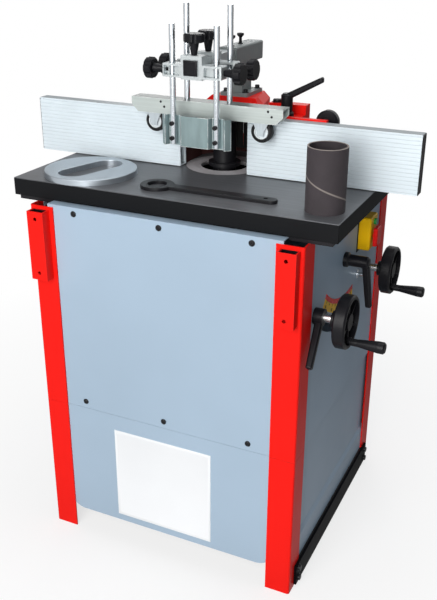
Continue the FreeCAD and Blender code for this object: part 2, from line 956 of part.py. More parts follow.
def socket_brackets():
    """The two channel brackets on the front posts, open at the top."""
    brackets = []
    height = ("socket_top - socket_height", "socket_top")
    face = "-cabinet_front - socket_depth"
    for side in SIDES:
        middle_x = "%d * socket_centre" % side
        outer = slab(
            (middle_x + " - socket_width / 2", middle_x + " + socket_width / 2"),
            (face, "-cabinet_front"),
            height,
        )
        inner = slab(
            (middle_x + " - socket_width / 2 + socket_wall", middle_x + " + socket_width / 2 - socket_wall"),
            (face + " + socket_wall", "cut_over - cabinet_front"),
            (height[0] + " - cut_over", height[1] + " + cut_over"),
        )
        wall = (face, face + " + socket_wall")
        places = ["socket_top - socket_height / 2 + %d * socket_pitch / 2" % way for way in SIDES]
        holes = [bore("y", "socket_hole", wall, (middle_x, place)) for place in places]
        brackets.append(cut(outer, inner, *holes))
    node("socket_brackets", group(brackets))


def cable_gland():
    """The gland in the rear panel, with its nut inside."""
    at = ("-gland_side", "gland_height")
    outside = ("rear_face", "rear_face + gland_length")
    inside = ("rear_face - panel_wall - gland_nut / 2", "rear_face - panel_wall")
    body = join(
        hexagon("y", "gland_nut", ("rear_face", "rear_face + gland_length / 2"), at),
        rod("y", "gland_radius", (inside[0], outside[1]), at),
        hexagon("y", "gland_nut", inside, at),
    )
    node("cable_gland", cut(body, bore("y", "gland_bore", (inside[0], outside[1]), at)))


# table


def table():
    """The table with a stepped bore for the insert rings, and the blocks that carry it."""
    recess = ("table_top - ring_thick", "table_top + cut_over")
    seat = rod("z", "ring_radius + slide_gap", recess, SPINDLE_AXIS)
    hole = bore("z", "ring_radius - ring_ledge", ("table_under", "table_top"), SPINDLE_AXIS)
    block = slab(
        ("-table_width / 2", "table_width / 2"),
        ("-table_depth / 2", "table_depth / 2"),
        ("table_under", "table_top"),
    )
    half = size("table_width / 2")
    deep = size("table_depth / 2")
    node("table", rounded(
        cut(block, seat, hole),
        "table_edge",
        lambda spot, _: near(abs(spot.x), half) or near(abs(spot.y), deep),
    ))
    blocks = []
    for side in SIDES:
        across = span(side, "mount_reach - mount_length", "mount_reach")
        for way in SIDES:
            depth = span(way, "table_depth / 2 - mount_inset - mount_width", "table_depth / 2 - mount_inset")
            blocks.append(slab(across, depth, ("cabinet_top", "table_under")))
    node("table_mounts", group(blocks))


def insert_rings():
    """Two rings that step the table's bore down to the spindle."""
    thick = ("table_top - ring_thick", "table_top")
    step = "table_top - ring_thick / 2"
    outer = cut(
        rod("z", "ring_radius", thick, SPINDLE_AXIS),
        bore("z", "ring_middle - ring_lap", thick, SPINDLE_AXIS),
        rod("z", "ring_middle", (step, "table_top + cut_over"), SPINDLE_AXIS),
    )
    inner = tube("z", "ring_middle - slide_gap", "ring_inner", (step, "table_top"), SPINDLE_AXIS)
    node("insert_rings", group([outer, inner]))


# tilting frame


def trunnion_plates():
    """Round plates under the table, each with an arc slot for the frame's pins."""
    plates = []
    for side in SIDES:
        across = span(side, "trunnion_low", "trunnion_high")
        block = slab(
            across,
            ("-trunnion_radius", "trunnion_radius"),
            ("table_top - trunnion_radius", "table_under"),
        )
        plate = overlap(block, rod("x", "trunnion_radius", across, TILT_AXIS))
        first = -size("tilt_pin_angle")
        last = size("tilt_pin_angle + tilt_range")
        slot = arc_slot("tilt_pin_circle", "tilt_pin + slide_gap", first, last, across)
        plates.append(cut(plate, slot))
    node("trunnion_plates", group(plates))


def tilt_yoke():
    """The frame that tilts: side plates on pins, a crossbar and lugs for the columns, arms for the shafts."""
    shares = zip(YOKE_DEPTH_SHARES, YOKE_HEIGHT_SHARES)
    outline = [("yoke_depth * %s - yoke_front" % d, "yoke_top - yoke_height * %s" % h) for d, h in shares]
    depth = ("crossbar_near", "crossbar_far")
    pieces = [
        slab(("-yoke_half", "yoke_half"), depth, ("yoke_top - crossbar_height", "yoke_top")),
        slab(
            ("yoke_half", "yoke_out"),
            ("height_y - bush_radius", "-yoke_front"),
            ("height_z - bush_radius", "height_z + bush_radius"),
        ),
        slab(
            ("yoke_out", "sector_reach"),
            ("-beam_front", "beam_depth - beam_front"),
            ("table_top - beam_drop - beam_height", "table_top - beam_drop"),
        ),
    ]
    holes = [bore("x", "shaft_radius + run_gap", ("yoke_half", "yoke_out"), HEIGHT_SHAFT)]
    washer = "trunnion_high + slide_gap + tilt_washer_thick"
    for side in SIDES:
        low, high = span(side, "yoke_half", "yoke_out")
        pieces.append(prism("YZ_Plane", outline, low, high))
        lug = span(side, "yoke_half - lug_reach", "yoke_half")
        pieces.append(slab(lug, depth, ("yoke_low", "yoke_low + lug_height")))
        column = ("%d * column_spread" % side, "-column_front")
        holes.append(bore("z", "column_radius", ("yoke_low", "yoke_top"), column))
        for way in SIDES:
            at = swung("tilt_pin_circle", "%d * tilt_pin_angle" % way)
            pieces.append(rod("x", "tilt_pin", span(side, "yoke_half", washer), at))
            pieces.append(rod("x", "tilt_washer", span(side, "trunnion_high + slide_gap", washer), at))
    node("tilt_yoke", cut(join(*pieces), *holes))


def guide_columns():
    """The two columns that the quill carriage slides on."""
    places = [("%d * column_spread" % side, "-column_front") for side in SIDES]
    node("guide_columns", group([rod("z", "column_radius", ("yoke_low", "yoke_top"), at) for at in places]))


def tooth_sides():
    """Tip height, root depth, and half the tooth at its tip and root."""
    pitch = size("tooth_pitch")
    half = (pitch / 2 - size("tooth_play")) / 2
    tip = pitch * TOOTH_TIP_SHARE
    root = pitch * TOOTH_ROOT_SHARE
    return tip, root, half - tip * TOOTH_FLANK_SHARE, half + root * TOOTH_FLANK_SHARE


def teeth_round(radius, centres):
    """Corners of teeth on a pitch circle as radii and angles in degrees."""
    tip, root, tip_half, root_half = tooth_sides()
    corners = []
    for centre in centres:
        for reach, half in ((-root, -root_half), (tip, -tip_half), (tip, tip_half), (-root, root_half)):
            corners.append((radius + reach, centre + math.degrees(half / radius)))
    return corners


def spot_round(y, z, radius, angle):
    """A point about an axis along x, its angle from straight down to the rear."""
    turn_by = math.radians(angle)
    return (y + radius * math.sin(turn_by), z - radius * math.cos(turn_by))


def raised(corners, low, high):
    """Raise a closed outline of y and z along x."""
    points = [FreeCAD.Vector(size(low), y, z) for y, z in corners]
    face = Part.Face(Part.makePolygon(points + points[:1]))
    return shaped(face.extrude(FreeCAD.Vector(size(high) - size(low), 0, 0)))


def pinion(at, first, low, high):
    """A small gear with its first tooth at an angle."""
    y, z = size(at[0]), size(at[1])
    count = int(size("pinion_teeth"))
    centres = [first + 360 * number / count for number in range(count)]
    corners = teeth_round(size("pinion_pitch"), centres)
    return raised([spot_round(y, z, radius, angle) for radius, angle in corners], low, high)


def tilt_sector():
    """The toothed sector that the tilt pinion turns, with the height shaft's bush and the lock slot."""
    step = 360 / size("sector_teeth")
    mesh = size("pinion_angle")
    back = int(size("tilt_range") / step) + SPARE_TEETH
    centres = [mesh + (number + 1 / 2) * step for number in range(-back, SPARE_TEETH + 1)]
    corners = teeth_round(size("sector_pitch"), centres)
    root = corners[0][0]
    rear = corners[-1][1] + step
    shaft = -math.degrees(math.atan2(size("height_front"), size("height_drop")))
    reach = math.hypot(size("height_front"), size("height_drop")) + size("sector_rim")
    front = shaft - step * SECTOR_FRONT_STEPS
    inner = size("sector_inner")
    sweep = int((rear - front) * SECTOR_STEP_SHARE)
    corners.append((root, rear))
    corners += [(inner, rear + (front - rear) * number / sweep) for number in range(sweep + 1)]
    tip = step * SECTOR_TIP_STEPS
    corners += [(reach, shaft - tip), (reach, shaft + tip)]
    sweep = int((corners[0][1] - shaft) * SECTOR_STEP_SHARE)
    start = shaft + step * SECTOR_HEEL_STEPS
    corners += [(root, start + (corners[0][1] - start) * number / sweep) for number in range(sweep)]
    plate_span = ("sector_reach", "sector_face")
    plate = raised([spot_round(0, size("table_top"), *corner) for corner in corners], *plate_span)
    boss_span = ("sector_face - bush_length", "sector_face")
    lock = size("lock_angle")
    slot = arc_slot("lock_circle", "lock_stud + slide_gap", lock - size("tilt_range"), lock, plate_span)
    hole = bore("x", "shaft_radius + run_gap", boss_span, HEIGHT_SHAFT)
    node("tilt_sector", cut(join(plate, rod("x", "bush_radius", boss_span, HEIGHT_SHAFT)), slot, hole))


def control_shafts():
    """The shafts of the two handwheels, each with its pinion."""
    end = "wheel_face + wheel_web"
    tilt_span = ("sector_reach - pinion_over", "sector_face + pinion_over")
    tilt = pinion(TILT_SHAFT, size("pinion_angle") + 180, *tilt_span)
    node("tilt_shaft", join(rod("x", "shaft_radius", (tilt_span[0], end), TILT_SHAFT), tilt))
    rack_span = ("rack_left", "rack_left + rack_width")
    height = pinion(HEIGHT_SHAFT, 90, *rack_span)
    node("height_shaft", join(rod("x", "shaft_radius", (rack_span[0], end), HEIGHT_SHAFT), height))


# quill, spindle and drive


def rack():
    """The toothed bar on the carriage that the height pinion lifts."""
    tip, root, tip_half, root_half = tooth_sides()
    pitch = size("tooth_pitch")
    line = size("height_y + pinion_pitch")
    below = int(size("height_up") / pitch) + SPARE_TEETH
    above = int(size("height_down") / pitch) + SPARE_TEETH
    corners = []
    for number in range(-below, above):
        centre = size("height_z") + (number + 1 / 2) * pitch
        for y, z in ((root, -root_half), (-tip, -tip_half), (-tip, tip_half), (root, root_half)):
            corners.append((line + y, centre + z))
    back = line + root + size("rack_back")
    corners += [(back, corners[-1][1]), (back, corners[0][1])]
    return raised(corners, "rack_left", "rack_left + rack_width")


def quill_carriage():
    """The carriage on the columns: quill housing, motor plate and rack in one casting."""
    tall = ("boss_low", "boss_high")
    rack_line = "height_y + pinion_pitch + tooth_pitch"
    pieces = [
        rod("z", "quill_radius", ("quill_low", "quill_high"), SPINDLE_AXIS),
        slab(
            ("-column_spread", "column_spread"),
            ("-column_front - web_thick / 2", "web_thick / 2 - column_front"),
            tall,
        ),
        slab(("-web_half", "web_half"), ("-column_front", "0"), tall),
        slab(
            ("-plate_half", "plate_half"),
            ("motor_y - plate_half", "motor_y + plate_half"),
            ("plate_low", "plate_high"),
        ),
        slab(
            ("-bridge_half", "bridge_half"),
            ("motor_y + motor_radius + slide_gap", "web_half"),
            ("plate_low", "quill_low"),
        ),
        slab(
            ("rack_left", "rack_left + rack_width"),
            (rack_line, "-column_front"),
            ("height_z - bush_radius", "height_z + bush_radius"),
        ),
        rack(),
    ]
    core = ("quill_low + bearing_inset", "quill_high - bearing_inset")
    holes = [
        rod("z", "bearing_outer", core, SPINDLE_AXIS),
        bore("z", "spindle_radius + hole_gap", ("plate_low", "quill_high"), SPINDLE_AXIS),
        bore("z", "motor_shaft + bush_wall", ("plate_low", "plate_high"), MOTOR_AXIS),
    ]
    for side in SIDES:
        at = ("%d * column_spread" % side, "-column_front")
        pieces.append(rod("z", "boss_radius", tall, at))
        holes.append(bore("z", "column_radius + run_gap", tall, at))
    node("quill_carriage", cut(join(*pieces), *holes))


def bearings():
    """The two spindle bearings in the quill."""
    low = "quill_low + bearing_inset"
    high = "quill_high - bearing_inset"
    spans = ((low, low + " + bearing_width"), (high + " - bearing_width", high))
    rings = [tube("z", "bearing_outer", "spindle_radius + run_gap", along, SPINDLE_AXIS) for along in spans]
    node("bearings", group(rings))


def spindle():
    """The spindle with its flange disc and arbor, the spacing rings and the nut on it."""
    outline = [
        ("0", "pulley_low"),
        ("spindle_tail", "pulley_low"),
        ("spindle_tail", "quill_low"),
        ("spindle_radius", "quill_low"),
        ("spindle_radius", "quill_high + slide_gap"),
        ("nose_radius", "quill_high + slide_gap"),
        ("nose_radius", "disc_low"),
        ("disc_radius", "disc_low"),
        ("disc_radius", "disc_high"),
        ("arbor_radius", "disc_high"),
        ("arbor_radius", "arbor_high"),
        ("0", "arbor_high"),
    ]
    node("spindle", turned(outline))
    rings = []
    for number in range(int(size("collar_count"))):
        low = "disc_high + %d * collar_thick" % number
        rings.append(tube("z", "collar_radius", "arbor_radius", (low, low + " + collar_thick"), SPINDLE_AXIS))
    nut_span = ("collar_high", "collar_high + nut_thick")
    hole = bore("z", "arbor_radius", nut_span, SPINDLE_AXIS)
    rings.append(cut(hexagon("z", "nut_radius", nut_span, SPINDLE_AXIS), hole))
    node("spindle_rings", group(rings))


def pulley_face(radius):
    """Corners of a pulley's face with a lip at each end, from low to high."""
    lip = "%s + pulley_lip" % radius
    return [
        (lip, "pulley_low"),
        (lip, "pulley_low + pulley_lip"),
        (radius, "pulley_low + pulley_lip"),
        (radius, "pulley_high - pulley_lip"),
        (lip, "pulley_high - pulley_lip"),
        (lip, "pulley_high"),
    ]


def drive():
    """The motor, the two pulleys and the flat belt."""
    seat = "plate_high + motor_seat"
    tall = ("plate_high", "plate_high + motor_length")
    box = slab(
        ("-motor_box_width / 2", "motor_box_width / 2"),
        ("motor_y - motor_radius - motor_box_depth", "motor_y"),
        ("plate_high + motor_seat", "plate_high + motor_seat + motor_box_height"),
    )
    hole = rod("z", "motor_shaft + run_gap", ("plate_high - cut_over", seat), MOTOR_AXIS)
    node("motor", cut(join(rod("z", "motor_radius", tall, MOTOR_AXIS), box), hole))
    node("spindle_pulley", turned(
        [("spindle_tail", "pulley_low")] + pulley_face("spindle_pulley") + [("spindle_tail", "pulley_high")]
    ))
    shaft_end = seat + " - slide_gap"
    motor_pulley = turned(
        [("0", "pulley_low")] + pulley_face("motor_pulley")
        + [("motor_shaft", "pulley_high"), ("motor_shaft", shaft_end), ("0", shaft_end)]
    )
    node("motor_pulley", put(motor_pulley, ALONG["z"], "0", "motor_y", "0"))
    outer = belt_loop("slide_gap + belt_thick")
    node("drive_belt", shaped(outer.cut(belt_loop("slide_gap"))))


def belt_loop(offset):
    """A solid within a loop round the two pulleys, at an offset from their faces."""
    small = size("spindle_pulley + %s" % offset)
    large = size("motor_pulley + %s" % offset)
    apart = size("motor_front")
    rise = (large - small) / apart
    width = math.sqrt(1 - rise * rise)
    low = size("belt_middle - belt_width / 2")
    right_near = FreeCAD.Vector(large * width, large * rise - apart, low)
    left_near = FreeCAD.Vector(-large * width, large * rise - apart, low)
    right_far = FreeCAD.Vector(small * width, small * rise, low)
    left_far = FreeCAD.Vector(-small * width, small * rise, low)
    edges = [
        Part.Arc(right_far, FreeCAD.Vector(0, small, low), left_far).toShape(),
        Part.makeLine(left_far, left_near),
        Part.Arc(left_near, FreeCAD.Vector(0, -apart - large, low), right_near).toShape(),
        Part.makeLine(right_near, right_far),
    ]
    return Part.Face(Part.Wire(edges)).extrude(FreeCAD.Vector(0, 0, size("belt_width")))


# handwheels, levers and switch


def handwheel(label, at):
    """A dished handwheel with ribs, and its crank handle."""
    web = "wheel_width / 2 - wheel_web / 2"
    inside = "wheel_radius - wheel_rim"
    outline = [
        ("shaft_radius", "-wheel_neck"),
        ("wheel_hub", "-wheel_neck"),
        ("wheel_hub", web + " - wheel_web"),
        (inside, "0"),
        ("wheel_radius - wheel_round", "0"),
        ("wheel_radius", "wheel_round"),
        ("wheel_radius", "wheel_width - wheel_round"),
        ("wheel_radius - wheel_round", "wheel_width"),
        (inside, "wheel_width"),
        (inside, "wheel_web"),
        ("wheel_hub", web),
        ("wheel_hub", "wheel_width - wheel_round"),
        ("0", "wheel_width - wheel_round"),
        ("0", "wheel_web"),
        ("shaft_radius", "wheel_web"),
    ]
    wheel = turned(outline)
    rib = [
        ("wheel_hub - wheel_round", "-rib_thick / 2"),
        (inside + " + wheel_round", "-rib_thick / 2"),
        (inside + " + wheel_round", "rib_thick / 2"),
        ("wheel_hub - wheel_round", "rib_thick / 2"),
    ]
    sketch = draw(wheel, "XY_Plane", rib, "wheel_web")
    around(wheel, pad(wheel, sketch, "wheel_width - 2 * wheel_web"), sketch, "rib_count")
    pad(wheel, draw_circle(wheel, "crank_radius", "0", "crank_boss", "wheel_web"), "wheel_width - wheel_web")
    put(wheel, ALONG["x"], "wheel_face", *at)
    grip = turned([
        ("0", "0"),
        ("handle_root", "0"),
        ("handle_root", "handle_length * %s" % HANDLE_NECK_SHARE),
        ("handle_end", "handle_length * %s" % HANDLE_SWELL_SHARE),
        ("handle_end", "handle_length - wheel_round"),
        ("handle_end - wheel_round", "handle_length"),
        ("0", "handle_length"),
    ])
    put(grip, ALONG["x"], "wheel_face + wheel_width", at[0], "%s - crank_radius" % at[1])
    node(label, group([wheel, grip]))


def lever_arm(length, reach, rise, start):
    """The moulded arm of a lever with all its long edges rounded."""
    outline = [
        (start, length + " - lever_arm_thick"),
        (reach, "%s + %s - lever_tip_thick" % (length, rise)),
        (reach, "%s + %s" % (length, rise)),
        (start, length),
    ]
    arm = prism("XZ_Plane", outline, "-lever_arm_width / 2", "lever_arm_width / 2")
    inner = size(start)
    soften(arm, "lever_round", lambda spot, edge: not near(spot.x, inner))
    return arm


def lever(label, stem, length, reach, rise, rotation, place):
    """A clamp lever: a hub with its stud below, and an arm."""
    hub = turned(stem + [
        ("lever_foot", "slide_gap"),
        ("lever_foot", "lever_foot_length"),
        ("lever_hub", "lever_foot_length + lever_foot - lever_hub"),
        ("lever_hub", "%s - lever_round" % length),
        ("lever_hub - lever_round", length),
        ("0", length),
    ])
    arm = lever_arm(length, reach, rise, "0")
    for piece in (hub, arm):
        put(piece, rotation, *place)
    node(label, join(hub, arm))


def levers():
    """The tilt lock, height lock and fence clamp levers."""
    inside = "sector_reach - slide_gap - side_face"
    stud = [
        ("0", inside + " - lever_foot_length"),
        ("lever_foot", inside + " - lever_foot_length"),
        ("lever_foot", inside),
        ("lock_stud", inside),
        ("lock_stud", "slide_gap"),
    ]
    lever(
        "tilt_lock_lever", stud, "tilt_lever_length", "tilt_lever_reach", "tilt_lever_rise",
        ALONG["x"], ("side_face", "lock_y", "lock_z"),
    )
    under = "-housing_wall - slide_gap"
    stud = [
        ("0", under + " - lever_foot_length"),
        ("lever_foot", under + " - lever_foot_length"),
        ("lever_foot", under),
        ("lock_stud", under),
        ("lock_stud", "slide_gap"),
    ]
    lever(
        "fence_clamp_lever", stud, "fence_lever_length", "fence_lever_reach", "fence_lever_rise",
        ALONG["z"], ("fence_lever_side", "fence_lever_back", "ledge_top"),
    )
    hole = "shaft_radius + run_gap"
    hub = turned([
        (hole, "slide_gap"),
        ("height_lever_hub", "slide_gap"),
        ("height_lever_hub", "height_lever_length"),
        (hole, "height_lever_length"),
    ])
    root = "(shaft_radius + height_lever_hub) / 2"
    arm = lever_arm("height_lever_length", "height_lever_reach", "height_lever_rise", root)
    lean = FreeCAD.Rotation(FreeCAD.Vector(1, 0, 0), size("height_lever_angle"))
    for piece in (hub, arm):
        put(piece, lean.multiply(ALONG["x"]), "side_face", "height_y", "height_z")
    node("height_lock_lever", join(hub, arm))


def switch():
    """The switch box on the right side, its stop paddle and its start button."""
    block = slab(("side_face", "switch_far"), ("switch_front", "switch_rear"), ("switch_low", "switch_high"))
    inner = size("side_face")
    box = rounded(block, "switch_round", lambda spot, _: not near(spot.x, inner))
    stem_at = ("switch_middle", "paddle_middle")
    button_at = ("switch_middle", "button_height")
    stem_low = "switch_far - button_depth"
    well = (stem_low + " - paddle_travel", "switch_far + cut_over")
    node("switch_housing", cut(
        box,
        rod("x", "paddle_stem + run_gap", well, stem_at),
        rod("x", "button_radius + run_gap", well, button_at),
    ))
    near_face = "switch_far + paddle_travel + slide_gap"
    pad_block = slab(
        (near_face, near_face + " + paddle_thick"),
        ("switch_middle - paddle_width / 2", "switch_middle + paddle_width / 2"),
        ("paddle_low", "paddle_low + paddle_height"),
    )
    face = size(near_face)
    soft = rounded(pad_block, "lever_round", lambda spot, _: not near(spot.x, face))
    node("stop_paddle", join(soft, rod("x", "paddle_stem", (stem_low, near_face), stem_at)))
    node("start_button", rod("x", "button_radius", (stem_low, "switch_far + button_proud"), button_at))


# fence unit


def hull(half, front, bend, rear_half, rear):
    """A plan outline that narrows towards the rear."""
    return [
        ("-(%s)" % half, front),
        (half, front),
        (half, bend),
        (rear_half, rear),
        ("-(%s)" % rear_half, rear),
        ("-(%s)" % half, bend),
    ]


def fence_housing():
    """The hood open to the front, with wings behind the fences, a ledge for the lever and a dust outlet."""
    lower = prism(
        "XY_Plane",
        hull("housing_half", "wing_near", "housing_bend", "housing_rear_half", "hood_rear"),
        "house_low", "housing_top",
    )
    cavity = prism(
        "XY_Plane",
        hull("housing_half - housing_wall", "wing_near - cut_over", "housing_bend",
             "housing_rear_half - housing_wall", "hood_rear - housing_wall"),
        "house_low - cut_over", "housing_top - housing_wall",
    )
    upper = prism(
        "XY_Plane",
        hull("hood_front_half", "hood_front", "housing_bend", "hood_rear_half", "hood_rear"),
        "housing_top - housing_wall", "hood_top",
    )
    crown = size("hood_top")
    end = size("hood_rear")
    upper = bevelled(upper, "hood_slope", lambda spot, _: near(spot.z, crown) and not near(spot.y, end))
    roof = prism(
        "XY_Plane",
        hull("hood_front_half - housing_wall", "hood_front + housing_wall", "housing_bend",
             "hood_rear_half - housing_wall", "hood_rear - housing_wall"),
        "housing_top - housing_wall - cut_over", "hood_top - housing_wall",
    )
    mouth = slab(
        ("housing_wall - housing_half", "housing_half - housing_wall"),
        ("wing_near - cut_over", "hood_front"),
        ("house_low - cut_over", "housing_top + cut_over"),
    )
    outlet = ("hood_rear", "hood_rear + spigot_length")
    spigot_at = ("0", "spigot_height")
    wings = [
        slab(("-left_wing_end", "-housing_half"), ("wing_near", "wing_far"), ("house_low", "left_wing_top")),
        slab(("housing_half", "right_wing_end"), ("wing_near", "wing_far"), ("house_low", "right_wing_top")),
        slab(("housing_half", "ledge_end"), ("wing_far", "ledge_depth"), ("house_low", "ledge_top")),
        slab(
            ("housing_half - housing_wall", "ledge_end"),
            ("ledge_depth", "block_rear"),
            ("house_low", "block_top"),
        ),
        slab(
            ("-foot_reach", "-housing_half"),
            ("wing_far", "foot_depth"),
            ("house_low", "house_low + foot_thick"),
        ),
        rod("y", "spigot_radius", outlet, spigot_at),
    ]
    hollow = slab(
        ("housing_half", "ledge_end - housing_wall"),
        ("wing_far", "block_rear - housing_wall"),
        ("house_low - cut_over", "ledge_top - housing_wall"),
    )
    stud_at = ("fence_lever_side", "fence_lever_back")
    holes = [
        cavity, roof, mouth, hollow,
        bore("y", "spigot_radius - spigot_wall", ("hood_rear - housing_wall", outlet[1]), spigot_at),
        bore("z", "lock_stud + run_gap", ("ledge_top - housing_wall", "ledge_top"), stud_at),
        bore("y", "star_stud + run_gap", ("wing_near", "wing_far"), ("knob_side", "knob_height")),
    ]
    node("fence_housing", cut(join(lower, upper, *wings), *holes))


def fences():
    """The two grooved, chambered fences."""
    outline = [("fence_front", "fence_low")]
    for number in range(int(size("groove_count"))):
        height = "fence_low + fence_height * %s / groove_count" % (number + 1 / 2)
        outline.append(("fence_front", height + " - groove_depth"))
        outline.append(("fence_front + groove_depth", height))
        outline.append(("fence_front", height + " + groove_depth"))
    high = "fence_low + fence_height"
    outline += [("fence_front", high), ("fence_rear", high), ("fence_rear", "fence_low")]
    count = int(size("fence_chambers"))
    for label, side in (("left_fence", -1), ("right_fence", 1)):
        low, far = span(side, "fence_gap", "fence_gap + fence_length")
        bar = prism("YZ_Plane", outline, low, far)
        chambers = []
        for number in range(count):
            room = "(fence_height - fence_wall) / fence_chambers"
            foot = "fence_low + fence_wall + %d * %s" % (number, room)
            chambers.append(slab(
                (low + " - cut_over", far + " + cut_over"),
                ("fence_front + fence_wall + groove_depth", "fence_rear - fence_wall"),
                (foot, "%s + %s - fence_wall" % (foot, room)),
            ))
        node(label, cut(bar, *chambers))


def fence_knob():
    """The round knob behind the right wing."""
    back = "round_knob_back"
    knob = turned([
        ("0", "-wing_thick"),
        ("star_stud", "-wing_thick"),
        ("star_stud", "slide_gap"),
        ("round_knob_stem", "slide_gap"),
        ("round_knob_stem", back),
        ("round_knob_radius - lever_round", back),
        ("round_knob_radius", back + " + lever_round"),
        ("round_knob_radius", back + " + round_knob_thick - lever_round"),
        ("round_knob_radius - lever_round", back + " + round_knob_thick"),
        ("0", back + " + round_knob_thick"),
    ])
    node("fence_knob", put(knob, ALONG["y"], "knob_side", "wing_far", "knob_height"))


# hold-down


def holddown_bracket():
    """The cast bracket on the hood with a sleeve for the arm."""
    bracket = join(
        slab(
            ("-bracket_flange_half", "bracket_flange_half"),
            ("bracket_flange_near", "bracket_flange_far"),
            ("hood_top", "bracket_low"),
        ),
        slab(
            ("-bracket_column_half", "bracket_column_half"),
            ("bracket_column_near", "bracket_column_far"),
            ("bracket_low", "sleeve_low"),
        ),
        slab(
            ("-bracket_sleeve_half", "bracket_sleeve_half"),
            ("bracket_sleeve_near", "bracket_sleeve_far"),
            ("sleeve_low", "sleeve_high"),
        ),
    )
    half = size("bracket_sleeve_half")
    soft = rounded(bracket, "bracket_round", lambda spot, edge: near(abs(spot.x), half) and near(
        abs(spot.z - size("arm_height")), half))
    hole = slab(
        ("-arm_width / 2 - slide_gap", "arm_width / 2 + slide_gap"),
        ("bracket_sleeve_near - cut_over", "bracket_sleeve_far + cut_over"),
        ("arm_height - arm_width / 2 - slide_gap", "arm_height + arm_width / 2 + slide_gap"),
    )
    node("holddown_bracket", cut(soft, hole))


def holddown_arm():
    """The square tube that carries the clamp blocks."""
    half = "arm_width / 2"
    hollow = "arm_width / 2 - arm_wall"
    tall = ("arm_height - " + half, "arm_height + " + half)
    outer = slab(("-" + half, half), ("-arm_near", "arm_far"), tall)
    inner = slab(
        ("-(%s)" % hollow, hollow),
        ("-arm_near - cut_over", "arm_far + cut_over"),
        ("arm_height - (%s)" % hollow, "arm_height + " + hollow),
    )
    node("holddown_arm", cut(outer, inner))


def clamp_block(label, middle_y):
    """A block that slides on the arm and holds a pair of rods."""
    depth = ("-%s - block_depth / 2" % middle_y, "block_depth / 2 - %s" % middle_y)
    tall = ("block_level - block_arm_height / 2", "block_level + block_arm_height / 2")
    arms = slab(("-block_half", "block_half"), depth, tall)
    sleeve = slab(
        ("-block_sleeve / 2", "block_sleeve / 2"), depth,
        ("arm_height - block_sleeve / 2", "arm_height + block_sleeve / 2"),
    )
    end = size("block_half")
    soft = rounded(join(arms, sleeve), "block_round", lambda spot, _: near(abs(spot.x), end))
    half = "arm_width / 2 + slide_gap"
    hole = slab(
        ("-(%s)" % half, half),
        (depth[0] + " - cut_over", depth[1] + " + cut_over"),
        ("arm_height - (%s)" % half, "arm_height + " + half),
    )
    top = ("arm_height", "arm_height + block_sleeve / 2")
    holes = [hole, bore("z", "star_stud + run_gap", top, ("0", "-" + middle_y))]
    for side in SIDES:
        holes.append(slab(
            span(side, "block_sleeve / 2 + block_wall", "block_half - block_wall"),
            (depth[0] + " - cut_over", depth[0] + " + block_recess"),
            (tall[0] + " + block_wall", tall[1] + " - block_wall"),
        ))
        holes.append(bore("z", "rod_radius + run_gap", tall, ("%d * rod_spread" % side, "-" + middle_y)))
        stud = span(side, "block_half - star_stud_length - hole_gap", "block_half + cut_over")
        holes.append(rod("x", "star_stud + run_gap", stud, ("-" + middle_y, "block_level")))
    node(label, cut(soft, *holes))


def star_knob(label, rotation, place):
    """A lobed clamping knob on a short stud."""
    head = "star_stem + star_thick"
    knob = turned([
        ("0", "-star_stud_length"),
        ("star_stud", "-star_stud_length"),
        ("star_stud", "slide_gap"),
        ("star_foot", "slide_gap"),
        ("star_neck", "star_stem"),
        ("star_radius - star_round", "star_stem"),
        ("star_radius", "star_stem + star_round"),
        ("star_radius", head + " - star_round"),
        ("star_radius - star_round", head),
        ("0", head),
    ])
    sketch = draw_circle(knob, "star_radius + star_round", "0", "star_notch", head)
    around(knob, pocket(knob, sketch, "star_thick"), sketch, "star_lobes")
    node(label, put(knob, rotation, *place))


def clamp_blocks():
    """The front and rear blocks and their six knobs."""
    for name, middle_y in (("front", "front_block"), ("rear", "rear_block")):
        clamp_block(name + "_clamp_block", middle_y)
        star_knob(name + "_block_knob", ALONG["z"], ("0", "-" + middle_y, "arm_height + block_sleeve / 2"))
        star_knob(name + "_left_knob", BACK, ("-block_half", "-" + middle_y, "block_level"))
        star_knob(name + "_right_knob", ALONG["x"], ("block_half", "-" + middle_y, "block_level"))


def rods():
    """The two pairs of round rods."""
    pairs = (
        ("front_rods", "-front_block", ("front_rod_low", "front_rod_high")),
        ("rear_rods", "-rear_block", ("bar_high", "rear_rod_high")),
    )
    for label, depth, tall in pairs:
        places = [("%d * rod_spread" % side, depth) for side in SIDES]
        node(label, group([rod("z", "rod_radius", tall, at) for at in places]))


def guard_plate():
    """The bent guard plate behind the rods, with a channel for each rod and curled ends."""
    flute = "rod_radius - front_block"
    proud = flute + " - guard_proud"
    half = [
        ("rod_spread - guard_flute - guard_slope", proud),
        ("rod_spread - guard_flute", flute),
        ("rod_spread + guard_flute", flute),
        ("rod_spread + guard_flute + guard_slope", proud),
        ("guard_half - guard_curl", proud),
        ("guard_half", proud + " + guard_curl"),
    ]
    front = [("-(%s)" % x, y) for x, y in reversed(half)] + half
    rear = [(x, y + " + guard_wall") for x, y in reversed(front)]
    node("guard_plate", prism("XY_Plane", front + rear, "guard_low", "guard_low + guard_height"))


